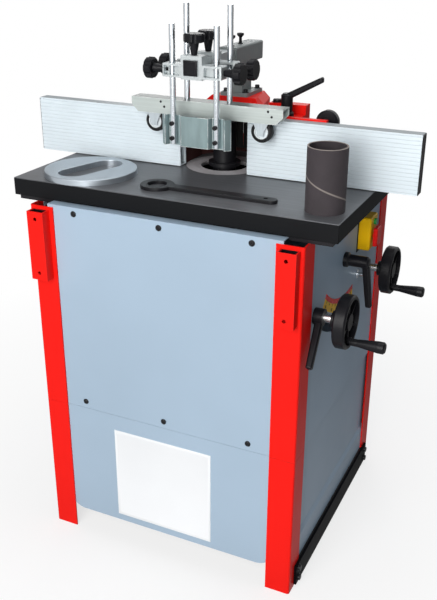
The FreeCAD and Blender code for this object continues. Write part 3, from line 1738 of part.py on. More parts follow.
def roller_unit():
    """The channel bar, the forks under it and the two rollers."""
    outline = [
        ("-bar_half", "bar_high"),
        ("bar_half", "bar_high"),
        ("bar_half", "bar_low + bar_bevel"),
        ("bar_half - bar_bevel", "bar_low"),
        ("bar_bevel - bar_half", "bar_low"),
        ("-bar_half", "bar_low + bar_bevel"),
    ]
    bar = prism("XZ_Plane", outline, "-rear_block - bar_depth / 2", "bar_depth / 2 - rear_block")
    hollow = slab(
        ("-bar_half - cut_over", "bar_half + cut_over"),
        ("bar_wall - rear_block - bar_depth / 2", "bar_depth / 2 - bar_wall - rear_block"),
        ("bar_low - cut_over", "bar_high - bar_wall"),
    )
    node("roller_bar", cut(bar, hollow))
    forks = []
    half_cheek = [
        ("fork_width / 2", "bar_high - bar_wall"),
        ("fork_width / 2", "bar_low"),
        ("fork_toe", "roller_height"),
        ("fork_toe", "roller_height - fork_foot"),
    ]
    cheek = "roller_width / 2 + hole_gap"
    for label, side in (("left_roller", -1), ("right_roller", 1)):
        middle_x = "%d * roller_side" % side
        pieces = []
        for way in SIDES:
            low, high = span(way, cheek, cheek + " + fork_wall")
            outline = [(middle_x + " + " + x, z) for x, z in half_cheek]
            outline += [(middle_x + " - " + x, z) for x, z in reversed(half_cheek)]
            pieces.append(prism("XZ_Plane", outline, low + " - rear_block", high + " - rear_block"))
        across = ("-(%s) - fork_wall - rear_block" % cheek, "%s + fork_wall - rear_block" % cheek)
        pieces.append(rod("y", "roller_axle", across, (middle_x, "roller_height")))
        forks.append(join(*pieces))
        width = ("-roller_width / 2 - rear_block", "roller_width / 2 - rear_block")
        node(label, tube("y", "roller_radius", "roller_axle + run_gap", width, (middle_x, "roller_height")))
    node("roller_forks", group(forks))


# loose things on the table


def oblong_insert_ring():
    """The ring with an oblong slot that lies on the table."""
    thick = ("table_top", "table_top + oblong_thick")
    disc = rod("z", "oblong_radius", thick, ("-oblong_side", "-oblong_front"))
    along = ("oblong_slot_half * cos(oblong_turn)", "oblong_slot_half * sin(oblong_turn)")
    aside = ("oblong_slot_radius * sin(oblong_turn)", "oblong_slot_radius * cos(oblong_turn)")
    slot = doc.addObject("Part::Box", "slot")
    bind(slot, "Length", "2 * oblong_slot_half")
    bind(slot, "Width", "2 * oblong_slot_radius")
    bind(slot, "Height", "oblong_thick + 2 * cut_over")
    put(
        slot,
        FreeCAD.Rotation(FreeCAD.Vector(0, 0, 1), size("oblong_turn")),
        "-oblong_side - %s + %s" % (along[0], aside[0]),
        "-oblong_front - %s - %s" % (along[1], aside[1]),
        "table_top - cut_over",
    )
    ends = []
    for way in SIDES:
        at = ("%d * %s - oblong_side" % (way, along[0]), "%d * %s - oblong_front" % (way, along[1]))
        ends.append(bore("z", "oblong_slot_radius", thick, at))
    high = size("table_top + oblong_thick")
    ring = rounded(cut(disc, slot, *ends), "oblong_edge", lambda spot, _: near(spot.z, high))
    node("oblong_insert_ring", ring)


def ring_spanner():
    """The flat ring spanner that lies on the table."""
    thick = ("table_top", "table_top + spanner_thick")
    at = ("-spanner_side", "-spanner_front")
    far = ("spanner_reach", "-spanner_front")
    handle = slab(
        (at[0], far[0]),
        ("-spanner_front - spanner_width / 2", "spanner_width / 2 - spanner_front"),
        thick,
    )
    flat = join(rod("z", "spanner_radius", thick, at), handle, rod("z", "spanner_width / 2", thick, far))
    high = size("table_top + spanner_thick")
    eye = bore("z", "spanner_eye", thick, ("spanner_reach - spanner_eye_inset", far[1]))
    holed = cut(flat, bore("z", "spanner_bore", thick, at), eye)
    node("ring_spanner", rounded(holed, "spanner_edge", lambda spot, _: near(spot.z, high)))


def sanding_sleeve():
    """The sanding sleeve that stands on the table."""
    tall = ("table_top", "table_top + sleeve_height")
    at = ("sleeve_side", "-sleeve_front")
    node("sanding_sleeve", tube("z", "sleeve_radius", "sleeve_radius - sleeve_wall", tall, at))


corner_posts("upper_corner_posts", "upper_low", "cabinet_top")
corner_posts("lower_corner_posts", "0", "lower_high")
upper_panels()
lower_panels()
base_bars()
cabinet_fasteners()
socket_brackets()
cable_gland()
table()
insert_rings()
trunnion_plates()
tilt_yoke()
guide_columns()
tilt_sector()
control_shafts()
quill_carriage()
bearings()
spindle()
drive()
handwheel("tilt_handwheel", TILT_SHAFT)
handwheel("height_handwheel", HEIGHT_SHAFT)
levers()
switch()
fence_housing()
fences()
fence_knob()
holddown_bracket()
holddown_arm()
clamp_blocks()
rods()
guard_plate()
roller_unit()
oblong_insert_ring()
ring_spanner()
sanding_sleeve()

doc.recompute()
failed = [thing.Label for thing in doc.Objects if "Invalid" in thing.State or "Error" in thing.State]
if failed:
    raise RuntimeError("failed objects: %s" % ", ".join(failed))
for thing in nodes:
    if thing.Shape.isNull() or not thing.Shape.isValid():
        raise RuntimeError("bad shape: " + thing.Label)
os.makedirs("parts", exist_ok=True)
for thing in nodes:
    thing.Shape.exportStep("parts/%s.step" % thing.Label)
    print(thing.Label, len(thing.Shape.Solids), "solids", round(thing.Shape.Volume), "mm3")
print(len(nodes), "nodes")
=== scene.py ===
# %% [markdown]
# # A spindle moulder: finishes and small fittings
# The machine's frame comes from the construction model: cabinet, table, fences, hold-down and handwheels
# are all in place. This lesson gives every surface a finish that looks made, and adds the small fittings
# that a construction model leaves out: screws, caps, seals, plates, roller tyres and a tilt scale.

# %% load the frame
import json
import math
import bmesh
import bpy
from mathutils import Euler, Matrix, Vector


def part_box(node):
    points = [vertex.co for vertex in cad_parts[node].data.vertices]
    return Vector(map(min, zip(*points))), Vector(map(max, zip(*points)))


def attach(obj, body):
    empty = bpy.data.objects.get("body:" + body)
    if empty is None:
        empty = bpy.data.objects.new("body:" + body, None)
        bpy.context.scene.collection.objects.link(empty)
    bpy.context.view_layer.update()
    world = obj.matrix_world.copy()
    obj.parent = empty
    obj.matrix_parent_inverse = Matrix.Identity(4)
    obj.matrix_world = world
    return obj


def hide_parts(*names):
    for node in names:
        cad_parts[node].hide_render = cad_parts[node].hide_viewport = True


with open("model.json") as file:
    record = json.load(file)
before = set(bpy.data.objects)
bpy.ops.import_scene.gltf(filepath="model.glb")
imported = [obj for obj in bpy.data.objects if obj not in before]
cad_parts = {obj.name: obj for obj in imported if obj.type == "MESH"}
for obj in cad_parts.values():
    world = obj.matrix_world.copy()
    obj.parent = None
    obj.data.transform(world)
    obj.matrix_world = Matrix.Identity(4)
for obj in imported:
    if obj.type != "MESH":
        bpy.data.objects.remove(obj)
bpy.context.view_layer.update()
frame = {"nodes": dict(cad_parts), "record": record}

# %% [markdown]
# ## Landmarks
# Fittings sit on faces that the frame already has. Their places could all be typed in, but a place that is
# measured on the frame stays right when the frame changes, so the faces that carry several fittings are
# measured once here. All lengths are in metres.

# %% landmarks
TABLE_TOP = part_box("table")[1].z
PANEL_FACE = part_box("front_upper_panel")[0].y
SIDE_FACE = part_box("right_upper_panel")[1].x
print("table top", TABLE_TOP, "front face", PANEL_FACE, "side face", SIDE_FACE)

# %% [markdown]
# ## Wiring helpers
# A finish is a small network of shader nodes. It could be drawn by hand in the shader editor; here a few
# helpers add the nodes and fill their sockets, so that each recipe below is short enough to read. Whatever
# fills a socket is either another node's output, which is linked, or a plain value, which is set.


# %% helpers for single nodes
def wire(tree, node, key, value):
    """Link one socket of a node to an output, or set it to a plain value."""
    if isinstance(value, bpy.types.NodeSocket):
        tree.links.new(value, node.inputs[key])
    else:
        node.inputs[key].default_value = value


def add(tree, kind, settings=None, **sockets):
    """Add a node; sockets are given by name, with an underscore for each space."""
    node = tree.nodes.new("ShaderNode" + kind)
    for key, value in (settings or {}).items():
        setattr(node, key, value)
    for key, value in sockets.items():
        wire(tree, node, key.replace("_", " "), value)
    return node


def reckon(tree, kind, operation, *values):
    """The outputs of a Math or VectorMath node whose inputs are filled in order."""
    node = add(tree, kind, {"operation": operation})
    for key, value in enumerate(values):
        wire(tree, node, key, value)
    return node.outputs


def noise(tree, place, scale, detail, roughness=0.5):
    """A cloudy mask."""
    return add(tree, "TexNoise", Vector=place, Scale=scale, Detail=detail, Roughness=roughness).outputs["Fac"]


print("node helpers ready")


# %% helpers for masks and colours
# The Mix node has sockets for every kind of data; these are the places of those that take colours.
MIX_FACTOR, MIX_FIRST, MIX_SECOND, MIX_RESULT = 0, 6, 7, 2


def ramp(tree, factor, *stops):
    """A ramp from grey level to grey level: each stop is a place and a level."""
    node = add(tree, "ValToRGB", Fac=factor)
    while len(node.color_ramp.elements) < len(stops):
        node.color_ramp.elements.new(0.5)
    for element, (place, level) in zip(node.color_ramp.elements, stops):
        element.position = place
        element.color = (level, level, level, 1)
    return node.outputs["Color"]


def blend(tree, factor, first, second, way="MIX"):
    """Blend two colours by a mask."""
    node = add(tree, "Mix", {"data_type": "RGBA", "blend_type": way})
    wire(tree, node, MIX_FACTOR, factor)
    wire(tree, node, MIX_FIRST, first)
    wire(tree, node, MIX_SECOND, second)
    return node.outputs[MIX_RESULT]


def multiply(tree, colour, *masks):
    """Darken a colour, or narrow a mask, by one mask after another."""
    for mask in masks:
        colour = blend(tree, 1.0, colour, mask, "MULTIPLY")
    return colour


def spread(tree, value, low, high, start=0.0, end=1.0):
    """Stretch the range start..end of a value to low..high."""
    node = add(tree, "MapRange", Value=value)
    limits = {"From Min": start, "From Max": end, "To Min": low, "To Max": high}
    for key, limit in limits.items():
        wire(tree, node, key, limit)
    return node.outputs["Result"]


def below(tree, value, limit):
    """1 where a value lies below a limit, 0 elsewhere."""
    return reckon(tree, "Math", "LESS_THAN", value, limit)["Value"]


def size_of(tree, value):
    """A value without its sign."""
    return reckon(tree, "Math", "ABSOLUTE", value)["Value"]


print("mask helpers ready")


# %% helpers for groups
def new_group(name, inputs):
    """A group with the given inputs and with a colour, a roughness and a height as outputs."""
    tree = bpy.data.node_groups.new(name, "ShaderNodeTree")
    for label, kind, value in inputs:
        socket = tree.interface.new_socket(label, in_out="INPUT", socket_type="NodeSocket" + kind)
        socket.default_value = value
    for label, kind in (("Colour", "Color"), ("Roughness", "Float"), ("Height", "Float")):
        tree.interface.new_socket(label, in_out="OUTPUT", socket_type="NodeSocket" + kind)
    given = tree.nodes.new("NodeGroupInput").outputs
    place = add(tree, "TexCoord").outputs["Object"]
    return tree, given, place


def close_group(tree, colour, roughness, height):
    """Wire the three results of a group to its outputs."""
    end = tree.nodes.new("NodeGroupOutput")
    for key, value in (("Colour", colour), ("Roughness", roughness), ("Height", height)):
        tree.links.new(value, end.inputs[key])
    return end


print("group helpers ready")

# %% [markdown]
# ## Worn edges and edge highlights
# Paint thins out first on outer corners, where hands and workpieces rub; on folded sheet and turned rims the
# same mask places a painted highlight. Such wear could be painted by hand, but a mask follows the shape by
# itself: the Bevel node gives the normal of a rounded corner, and where that differs from the true normal
# there is an edge. Noise breaks the line up, so that the wear is patchy and not a drawn outline.


# %% edge wear
def edge_mask(tree, place, radius):
    """A patchy mask that is bright on corners."""
    rounded = add(tree, "Bevel", {"samples": 4}, Radius=radius).outputs["Normal"]
    true = add(tree, "NewGeometry").outputs["Normal"]
    match = reckon(tree, "VectorMath", "DOT_PRODUCT", rounded, true)["Value"]
    edge = ramp(tree, match, (0.80, 1.0), (0.97, 0.0))
    patch = noise(tree, place, scale=38.0, detail=5.0)
    return multiply(tree, edge, ramp(tree, patch, (0.42, 0.0), (0.62, 1.0)))


print("edge wear ready")

# %% [markdown]
# ## Sprayed paint
# The red posts and blue-grey panels are powder coated: a thick even film with a fine orange peel. One flat
# colour would look like plastic, so a slow mottle shifts the colour a little over each panel, the
# roughness drifts, and a fine bump carries the peel.


# %% paint group
def paint_group():
    tree, given, place = new_group("sprayed_paint", [
        ("Colour", "Color", (0.8, 0.1, 0.1, 1)),
        ("Worn colour", "Color", (0.4, 0.4, 0.4, 1)),
        ("Smooth", "Float", 0.25),
        ("Rough", "Float", 0.4),
        ("Peel scale", "Float", 700.0),
    ])
    mottle = ramp(tree, noise(tree, place, scale=2.6, detail=3.0), (0.3, 0.90), (0.7, 1.0))
    mottled = multiply(tree, given["Colour"], mottle)
    worn = ramp(tree, edge_mask(tree, place, radius=0.0016), (0.2, 0.0), (1.0, 0.35))
    colour = blend(tree, worn, mottled, given["Worn colour"])
    streak = noise(tree, place, scale=14.0, detail=6.0)
    roughness = spread(tree, streak, given["Smooth"], given["Rough"])
    peel = noise(tree, place, scale=given["Peel scale"], detail=2.0)
    close_group(tree, colour, roughness, peel)
    return tree


PAINT = paint_group()
print("group", PAINT.name)

# %% [markdown]
# ## Ground and drawn metal
# Bright metal shows the direction it was worked in. An anisotropic shader could stretch its highlights,
# but the lines themselves would be missing up close. Noise stretched thin along one axis gives the lines
# left by a belt or a die, and they tint the colour, the roughness and the bump together. Faces that look
# up are painted darker as painted shade, and folds are painted brighter as a painted highlight.


# %% drawn metal group
# The colour of the painted highlight laid along folds and edges.
FOLD_HIGHLIGHT_COLOUR = (0.86, 0.89, 0.89, 1)


def drawn_group():
    tree, given, place = new_group("drawn_metal", [
        ("Colour", "Color", (0.6, 0.6, 0.6, 1)),
        ("Stretch", "Vector", (4.0, 400.0, 400.0)),
        ("Line tone", "Float", 0.86),
        ("Top tone", "Float", 1.0),
        ("Fold share", "Float", 0.0),
        ("Smooth", "Float", 0.2),
        ("Rough", "Float", 0.4),
    ])
    stretched = add(tree, "Mapping", Vector=place, Scale=given["Stretch"]).outputs["Vector"]
    lines = noise(tree, stretched, scale=1.0, detail=4.0, roughness=0.6)
    tone = spread(tree, ramp(tree, lines, (0.3, 0.0), (0.7, 1.0)), given["Line tone"], 1.0)
    stain = ramp(tree, noise(tree, place, scale=9.0, detail=4.0), (0.3, 0.92), (0.65, 1.0))
    normal = add(tree, "NewGeometry").outputs["Normal"]
    slope = add(tree, "SeparateXYZ", Vector=normal).outputs["Z"]
    # Upward faces are darkened as painted shade, and faces that slope up only part of the way.
    upward = ramp(tree, slope, (0.5, 0.0), (0.6, 0.22), (0.8, 0.22), (0.95, 1.0))
    top_shade = spread(tree, upward, 1.0, given["Top tone"])
    drawn = multiply(tree, given["Colour"], tone, stain, top_shade)
    # Folds and edges are brightened as a painted highlight.
    fold_highlight = spread(tree, edge_mask(tree, place, radius=0.0022), 0.0, given["Fold share"])
    colour = blend(tree, fold_highlight, drawn, FOLD_HIGHLIGHT_COLOUR)
    roughness = spread(tree, lines, given["Smooth"], given["Rough"])
    close_group(tree, colour, roughness, lines)
    return tree


DRAWN = drawn_group()
print("group", DRAWN.name)

# %% [markdown]
# ## Turned metal
# Insert rings are faced on a lathe, so their lines run round the centre. A ring texture would space them
# evenly, and a lathe doesn't: here the distance from the centre drives a noise along one dimension. Each
# ring gets its own centre, and turned rims are painted brighter as a painted highlight.


# %% turned metal group
# The colour of the painted highlight on turned rims.
RIM_HIGHLIGHT_COLOUR = (0.90, 0.90, 0.92, 1)


def turned_group():
    tree, given, place = new_group("turned_metal", [
        ("Colour", "Color", (0.6, 0.6, 0.6, 1)),
        ("Centre", "Vector", (0.0, 0.0, 0.0)),
        ("Rim share", "Float", 0.0),
        ("Smooth", "Float", 0.2),
        ("Rough", "Float", 0.4),
    ])
    away = reckon(tree, "VectorMath", "SUBTRACT", place, given["Centre"])["Vector"]
    flat = reckon(tree, "VectorMath", "MULTIPLY", away, (1.0, 1.0, 0.0))["Vector"]
    far = reckon(tree, "VectorMath", "LENGTH", flat)["Value"]
    rings = add(tree, "TexNoise", {"noise_dimensions": "1D"}, W=far, Scale=900.0, Detail=3.0).outputs["Fac"]
    cloud = noise(tree, place, scale=16.0, detail=5.0)
    tone = ramp(tree, rings, (0.3, 0.82), (0.7, 1.0))
    stain = ramp(tree, cloud, (0.3, 0.86), (0.65, 1.0))
    faced = multiply(tree, given["Colour"], tone, stain)
    # Rims are brightened as a painted highlight.
    rim = spread(tree, edge_mask(tree, place, radius=0.0020), 0.0, given["Rim share"])
    colour = blend(tree, rim, faced, RIM_HIGHLIGHT_COLOUR)
    roughness = spread(tree, cloud, given["Smooth"], given["Rough"])
    close_group(tree, colour, roughness, rings)
    return tree


TURNED = turned_group()
print("group", TURNED.name)

# %% [markdown]
# ## Moulded and cast surfaces
# Plastic grips, rubber and rough castings have a grain from the mould. They could each have a recipe of
# their own, but one serves all: small cells set the bump, a slow cloud drifts the roughness, and handled
# corners turn a little paler. Only the size of the grain and the colours differ.


# %% moulded group
def moulded_group():
    tree, given, place = new_group("moulded_grain", [
        ("Colour", "Color", (0.03, 0.03, 0.03, 1)),
        ("Rubbed colour", "Color", (0.1, 0.1, 0.1, 1)),
        ("Grain scale", "Float", 1400.0),
        ("Smooth", "Float", 0.35),
        ("Rough", "Float", 0.6),
    ])
    cells = add(tree, "TexVoronoi", Vector=place, Scale=given["Grain scale"]).outputs["Distance"]
    cloud = noise(tree, place, scale=20.0, detail=5.0)
    body = multiply(tree, given["Colour"], ramp(tree, cloud, (0.3, 0.85), (0.7, 1.0)))
    rubbed = ramp(tree, edge_mask(tree, place, radius=0.0012), (0.1, 0.0), (1.0, 0.6))
    colour = blend(tree, rubbed, body, given["Rubbed colour"])
    roughness = spread(tree, cloud, given["Smooth"], given["Rough"])
    close_group(tree, colour, roughness, cells)
    return tree


MOULDED = moulded_group()
print("group", MOULDED.name)

# %% [markdown]
# ## A material from a group
# Each finish is a Principled shader. The group feeds its colour, roughness and bump; what stays the same
# all over, such as being metal or how strongly it mirrors, is set on the shader itself, where it is easy
# to find.


# %% material helper
def finish(name, group, bump, metallic=0.0, gloss=0.5, **given):
    """A material fed by one of the groups; bump is the height of its relief in metres."""
    made = bpy.data.materials.new(name)
    made.use_nodes = True
    tree = made.node_tree
    shader = tree.nodes["Principled BSDF"]
    source = tree.nodes.new("ShaderNodeGroup")
    source.node_tree = group
    for key, value in given.items():
        source.inputs[key.replace("_", " ")].default_value = value
    tree.links.new(source.outputs["Colour"], shader.inputs["Base Color"])
    tree.links.new(source.outputs["Roughness"], shader.inputs["Roughness"])
    relief = add(tree, "Bump", Height=source.outputs["Height"], Distance=bump)
    tree.links.new(relief.outputs["Normal"], shader.inputs["Normal"])
    shader.inputs["Metallic"].default_value = metallic
    shader.inputs["Specular IOR Level"].default_value = gloss
    return made


print("material helper ready")

# %% [markdown]
# ## Paints
# Red posts, blue-grey panels, black steel and base bars, the motor's enamel and the white plate are all
# painted, so they share the paint group. A coat that should look deep and even mirrors little; the worn
# colour is what shows at its corners.

# %% paints
RED_COAT = (0.84, 0.012, 0.008, 1)
RED = finish("red_powder_coat", PAINT, bump=0.00004, gloss=0.08, Colour=RED_COAT,
             Worn_colour=(0.55, 0.06, 0.05, 1), Smooth=0.30, Rough=0.44)
# The blue-grey's worn colour is lighter than the coat, so its edges show wear and also a painted highlight.
GREY = finish("blue_grey_paint", PAINT, bump=0.00003, gloss=0.35, Colour=(0.35, 0.455, 0.565, 1),
              Worn_colour=(0.48, 0.55, 0.62, 1), Smooth=0.34, Rough=0.48)
BLACK = finish("blackened_steel", PAINT, bump=0.00003, gloss=0.2, Colour=(0.008, 0.008, 0.010, 1),
               Worn_colour=(0.07, 0.07, 0.07, 1), Smooth=0.30, Rough=0.50)
BASE = finish("black_base_lacquer", PAINT, bump=0.00003, gloss=0.03, Colour=(0.004, 0.004, 0.005, 1),
              Worn_colour=(0.03, 0.03, 0.03, 1), Smooth=0.45, Rough=0.60)
MOTOR = finish("motor_enamel", PAINT, bump=0.00006, Colour=(0.06, 0.075, 0.085, 1),
               Worn_colour=(0.15, 0.16, 0.16, 1), Smooth=0.35, Rough=0.55, Peel_scale=400.0)
WHITE = finish("white_enamel_plate", PAINT, bump=0.00001, gloss=0.25, Colour=(0.82, 0.84, 0.86, 1),
               Worn_colour=(0.66, 0.68, 0.70, 1), Smooth=0.34, Rough=0.42)
print("materials", len(bpy.data.materials))

# %% [markdown]
# ## Metals
# Rings are turned, and rods, fences, blocks and sheet are drawn or ground, each along its own direction,
# which the stretch gives: a small number along the lines, large ones across them. Polished steel is all
# metal; anodised and plated pieces are only partly so, because their film also scatters light.

# %% metals
# The ring's rims carry a painted highlight.
RING = finish("turned_ring_steel", TURNED, bump=0.00002, metallic=0.3, Colour=(0.60, 0.58, 0.60, 1),
              Rim_share=0.8, Smooth=0.24, Rough=0.42)
OBLONG = finish("turned_oblong_steel", TURNED, bump=0.00002, metallic=0.8, Colour=(0.46, 0.51, 0.56, 1),
                Centre=(-0.226, -0.189, 0.0), Smooth=0.24, Rough=0.42)
BRIGHT = finish("ground_steel", DRAWN, bump=0.00001, metallic=1.0, Colour=(0.58, 0.58, 0.58, 1),
                Stretch=(400.0, 400.0, 6.0), Smooth=0.18, Rough=0.34)
CHROME = finish("polished_rod", DRAWN, bump=0.000001, metallic=1.0, Colour=(0.64, 0.68, 0.72, 1),
                Stretch=(160.0, 160.0, 5.0), Line_tone=0.93, Smooth=0.10, Rough=0.18)
# The fence and the zinc sheet paint their upward faces darker as painted shade.
FENCE = finish("anodised_fence", DRAWN, bump=0.00001, metallic=0.1, gloss=0.4, Colour=(0.68, 0.76, 0.81, 1),
               Stretch=(3.0, 500.0, 500.0), Line_tone=0.97, Top_tone=0.42, Smooth=0.34, Rough=0.46)
BLOCK = finish("satin_aluminium", DRAWN, bump=0.00002, metallic=0.55, Colour=(0.50, 0.54, 0.55, 1),
               Stretch=(300.0, 5.0, 300.0), Smooth=0.28, Rough=0.46)
ZINC = finish("zinc_sheet", DRAWN, bump=0.00002, metallic=0.45, Colour=(0.50, 0.555, 0.54, 1),
              Stretch=(5.0, 260.0, 260.0), Top_tone=0.40, Fold_share=1.2, Smooth=0.28, Rough=0.46)
# The zinc sheet and the guard paint their folds brighter as a painted highlight.
GUARD = finish("zinc_guard_sheet", DRAWN, bump=0.00002, metallic=0.6, Colour=(0.25, 0.335, 0.345, 1),
               Stretch=(60.0, 60.0, 14.0), Line_tone=0.78, Fold_share=3.0, Smooth=0.24, Rough=0.42)
FORK = finish("bright_zinc_fork", DRAWN, bump=0.00002, metallic=0.35, Colour=(0.50, 0.56, 0.60, 1),
              Stretch=(200.0, 200.0, 9.0), Smooth=0.28, Rough=0.44)
print("materials", len(bpy.data.materials))

# %% [markdown]
# ## Castings, plastics and rubber
# The painted casting, the grips, the switch and the tyres take the moulded group. The casting has a coarse
# grain and a deep relief, the switch a fine one, and rubber is rough all over.

# %% castings, plastics and rubber
CASTING = finish("painted_casting", MOULDED, bump=0.00025, gloss=0.4, Colour=(0.225, 0.25, 0.25, 1),
                 Rubbed_colour=(0.30, 0.33, 0.32, 1), Grain_scale=420.0, Smooth=0.36, Rough=0.56)
PLASTIC = finish("black_grained_plastic", MOULDED, bump=0.00006, gloss=0.16, Colour=(0.006, 0.006, 0.008, 1),
                 Rubbed_colour=(0.03, 0.03, 0.034, 1), Smooth=0.26, Rough=0.44)
YELLOW = finish("yellow_moulding", MOULDED, bump=0.00002, gloss=0.12, Colour=(0.95, 0.55, 0.004, 1),
                Rubbed_colour=(0.92, 0.62, 0.10, 1), Smooth=0.25, Rough=0.40)
RED_PLASTIC = finish("red_moulding", MOULDED, bump=0.00002, gloss=0.12, Colour=(0.72, 0.012, 0.010, 1),
                     Rubbed_colour=(0.80, 0.10, 0.08, 1), Smooth=0.20, Rough=0.35)
GREEN_PLASTIC = finish("green_moulding", MOULDED, bump=0.00002, gloss=0.4, Colour=(0.012, 0.28, 0.05, 1),
                       Rubbed_colour=(0.08, 0.40, 0.14, 1), Smooth=0.20, Rough=0.35)
HUB = finish("pale_hub_plastic", MOULDED, bump=0.00002, Colour=(0.66, 0.71, 0.74, 1),
             Rubbed_colour=(0.75, 0.78, 0.78, 1), Smooth=0.30, Rough=0.45)
RUBBER = finish("roller_tyre", MOULDED, bump=0.00005, gloss=0.3, Colour=(0.008, 0.008, 0.009, 1),
                Rubbed_colour=(0.03, 0.03, 0.03, 1), Grain_scale=1100.0, Smooth=0.55, Rough=0.75)
BELT = finish("belt_rubber", MOULDED, bump=0.00008, gloss=0.3, Colour=(0.015, 0.015, 0.015, 1),
              Rubbed_colour=(0.04, 0.04, 0.04, 1), Grain_scale=900.0, Smooth=0.6, Rough=0.8)
print("materials", len(bpy.data.materials))

# %% [markdown]
# ## The table
# The cast-iron table is planed on top and painted black round its edges. Two materials on two sets of
# faces would need the mesh to be changed, so height decides which of the two a spot shows: above the paint
# line the iron is bare, dark and crossed by long planing marks.


# %% table finish
PAINT_END = TABLE_TOP - 0.0020
IRON_START = TABLE_TOP - 0.0004
IRON_METALLIC = 0.35


def table_finish():
    tree, given, place = new_group("planed_table", [
        ("Iron", "Color", (0.172, 0.178, 0.192, 1)),
        ("Paint", "Color", (0.003, 0.0035, 0.0045, 1)),
    ])
    tree.interface.new_socket("Bare", in_out="OUTPUT", socket_type="NodeSocketFloat")
    stretched = add(tree, "Mapping", Vector=place, Scale=(3.0, 260.0, 1.0)).outputs["Vector"]
    marks = noise(tree, stretched, scale=1.0, detail=5.0, roughness=0.6)
    cloud = noise(tree, place, scale=5.0, detail=6.0)
    planed = ramp(tree, marks, (0.3, 0.75), (0.7, 1.0))
    stain = ramp(tree, cloud, (0.3, 0.7), (0.7, 1.0))
    iron = multiply(tree, given["Iron"], planed, stain)
    height = add(tree, "SeparateXYZ", Vector=place).outputs["Z"]
    bare = spread(tree, height, 0.0, 1.0, start=PAINT_END, end=IRON_START)
    colour = blend(tree, bare, given["Paint"], iron)
    roughness = blend(tree, bare, spread(tree, cloud, 0.55, 0.70), spread(tree, cloud, 0.26, 0.42))
    peel = noise(tree, place, scale=220.0, detail=3.0)
    end = close_group(tree, colour, roughness, blend(tree, bare, peel, marks))
    tree.links.new(spread(tree, bare, 0.0, IRON_METALLIC), end.inputs["Bare"])
    made = finish("planed_iron_table", tree, bump=0.00003, gloss=0.12)
    nodes = made.node_tree.nodes
    made.node_tree.links.new(nodes["Group"].outputs["Bare"], nodes["Principled BSDF"].inputs["Metallic"])
    return made


TABLE = table_finish()
print("finish", TABLE.name)

# %% [markdown]
# ## The fence housing
# The hood is sprayed red outside, and its inside is painted dark as painted shade, for the shade inside the
# hood. The side walls run straight and then taper to the rear, so the mask that tells inside from outside
# compares the distance from the middle with a limit that narrows along the taper, halfway through the wall.
# A rear and an upper limit close the shaded space.


# %% housing finish
TAPER_START, TAPER_END = 0.06, 0.14
WIDE_HALF, NARROW_HALF = 0.090, 0.056
REAR_LIMIT = 0.134
ROOF_LIMIT = 0.954


def housing_finish():
    tree, given, place = new_group("shaded_inside", [
        ("Outside", "Color", RED_COAT),
        ("Inside", "Color", (0.05, 0.020, 0.019, 1)),
    ])
    parts = add(tree, "SeparateXYZ", Vector=place).outputs
    half = spread(tree, parts["Y"], WIDE_HALF, NARROW_HALF, start=TAPER_START, end=TAPER_END)
    between_walls = below(tree, size_of(tree, parts["X"]), half)
    before_rear = below(tree, parts["Y"], REAR_LIMIT)
    under_roof = below(tree, parts["Z"], ROOF_LIMIT)
    inside = multiply(tree, between_walls, before_rear, under_roof)
    slow = noise(tree, place, scale=4.0, detail=3.0)
    sprayed = multiply(tree, given["Outside"], ramp(tree, slow, (0.3, 0.90), (0.7, 1.0)))
    # Inside the walls the red gives way to a dark red, as painted shade.
    colour = blend(tree, inside, sprayed, given["Inside"])
    roughness = blend(tree, inside, spread(tree, slow, 0.30, 0.44), spread(tree, slow, 0.6, 0.8))
    peel = noise(tree, place, scale=700.0, detail=2.0)
    close_group(tree, colour, roughness, peel)
    return finish("red_coat_painted_inside_shade", tree, bump=0.00004, gloss=0.08)


HOUSING = housing_finish()
print("finish", HOUSING.name)

# %% [markdown]
# ## The sanding sleeve
# A sanding sleeve is a strip of abrasive cloth wound in a spiral and glued, so a pale joint climbs round
# it. The joint could be modelled as a thin ribbon, but it is flat in the cloth. So the angle round the
# sleeve's centre plus its height makes the spiral, a fine grit covers the rest, and the paper core shows
# at the upper rim.


# %% abrasive finish
SLEEVE_CENTRE = (0.305, -0.215, TABLE_TOP)
SPIRAL_RATE = 62.0
RIM_START, RIM_END = 0.1212, 0.1216


def abrasive_finish():
    tree, given, place = new_group("spiral_abrasive", [
        ("Grit", "Color", (0.045, 0.036, 0.042, 1)),
        ("Joint", "Color", (0.25, 0.22, 0.20, 1)),
        ("Paper", "Color", (0.26, 0.23, 0.21, 1)),
    ])
    centred = reckon(tree, "VectorMath", "SUBTRACT", place, SLEEVE_CENTRE)["Vector"]
    parts = add(tree, "SeparateXYZ", Vector=centred).outputs
    angle = reckon(tree, "Math", "ARCTAN2", parts["Y"], parts["X"])["Value"]
    climb = reckon(tree, "Math", "MULTIPLY_ADD", parts["Z"], SPIRAL_RATE, angle)["Value"]
    wave = reckon(tree, "Math", "SINE", climb)["Value"]
    joint = ramp(tree, wave, (0.993, 0.0), (0.998, 0.8))
    grit = noise(tree, place, scale=1500.0, detail=2.0)
    cloud = noise(tree, place, scale=30.0, detail=5.0)
    specks = ramp(tree, grit, (0.3, 0.6), (0.7, 1.0))
    stain = ramp(tree, cloud, (0.3, 0.75), (0.7, 1.0))
    cloth = blend(tree, joint, multiply(tree, given["Grit"], specks, stain), given["Joint"])
    rim = spread(tree, parts["Z"], 0.0, 1.0, start=RIM_START, end=RIM_END)
    colour = blend(tree, rim, cloth, given["Paper"])
    close_group(tree, colour, spread(tree, grit, 0.75, 0.95), grit)
    return finish("spiral_abrasive_cloth", tree, bump=0.0002)


ABRASIVE = abrasive_finish()
print("finish", ABRASIVE.name)

# %% [markdown]
# ## Dressing the frame
# Every piece of the frame takes the finish of its material slot. Where two pieces share a slot but were
# worked in different ways, such as the two kinds of ring, the piece's own entry comes first.

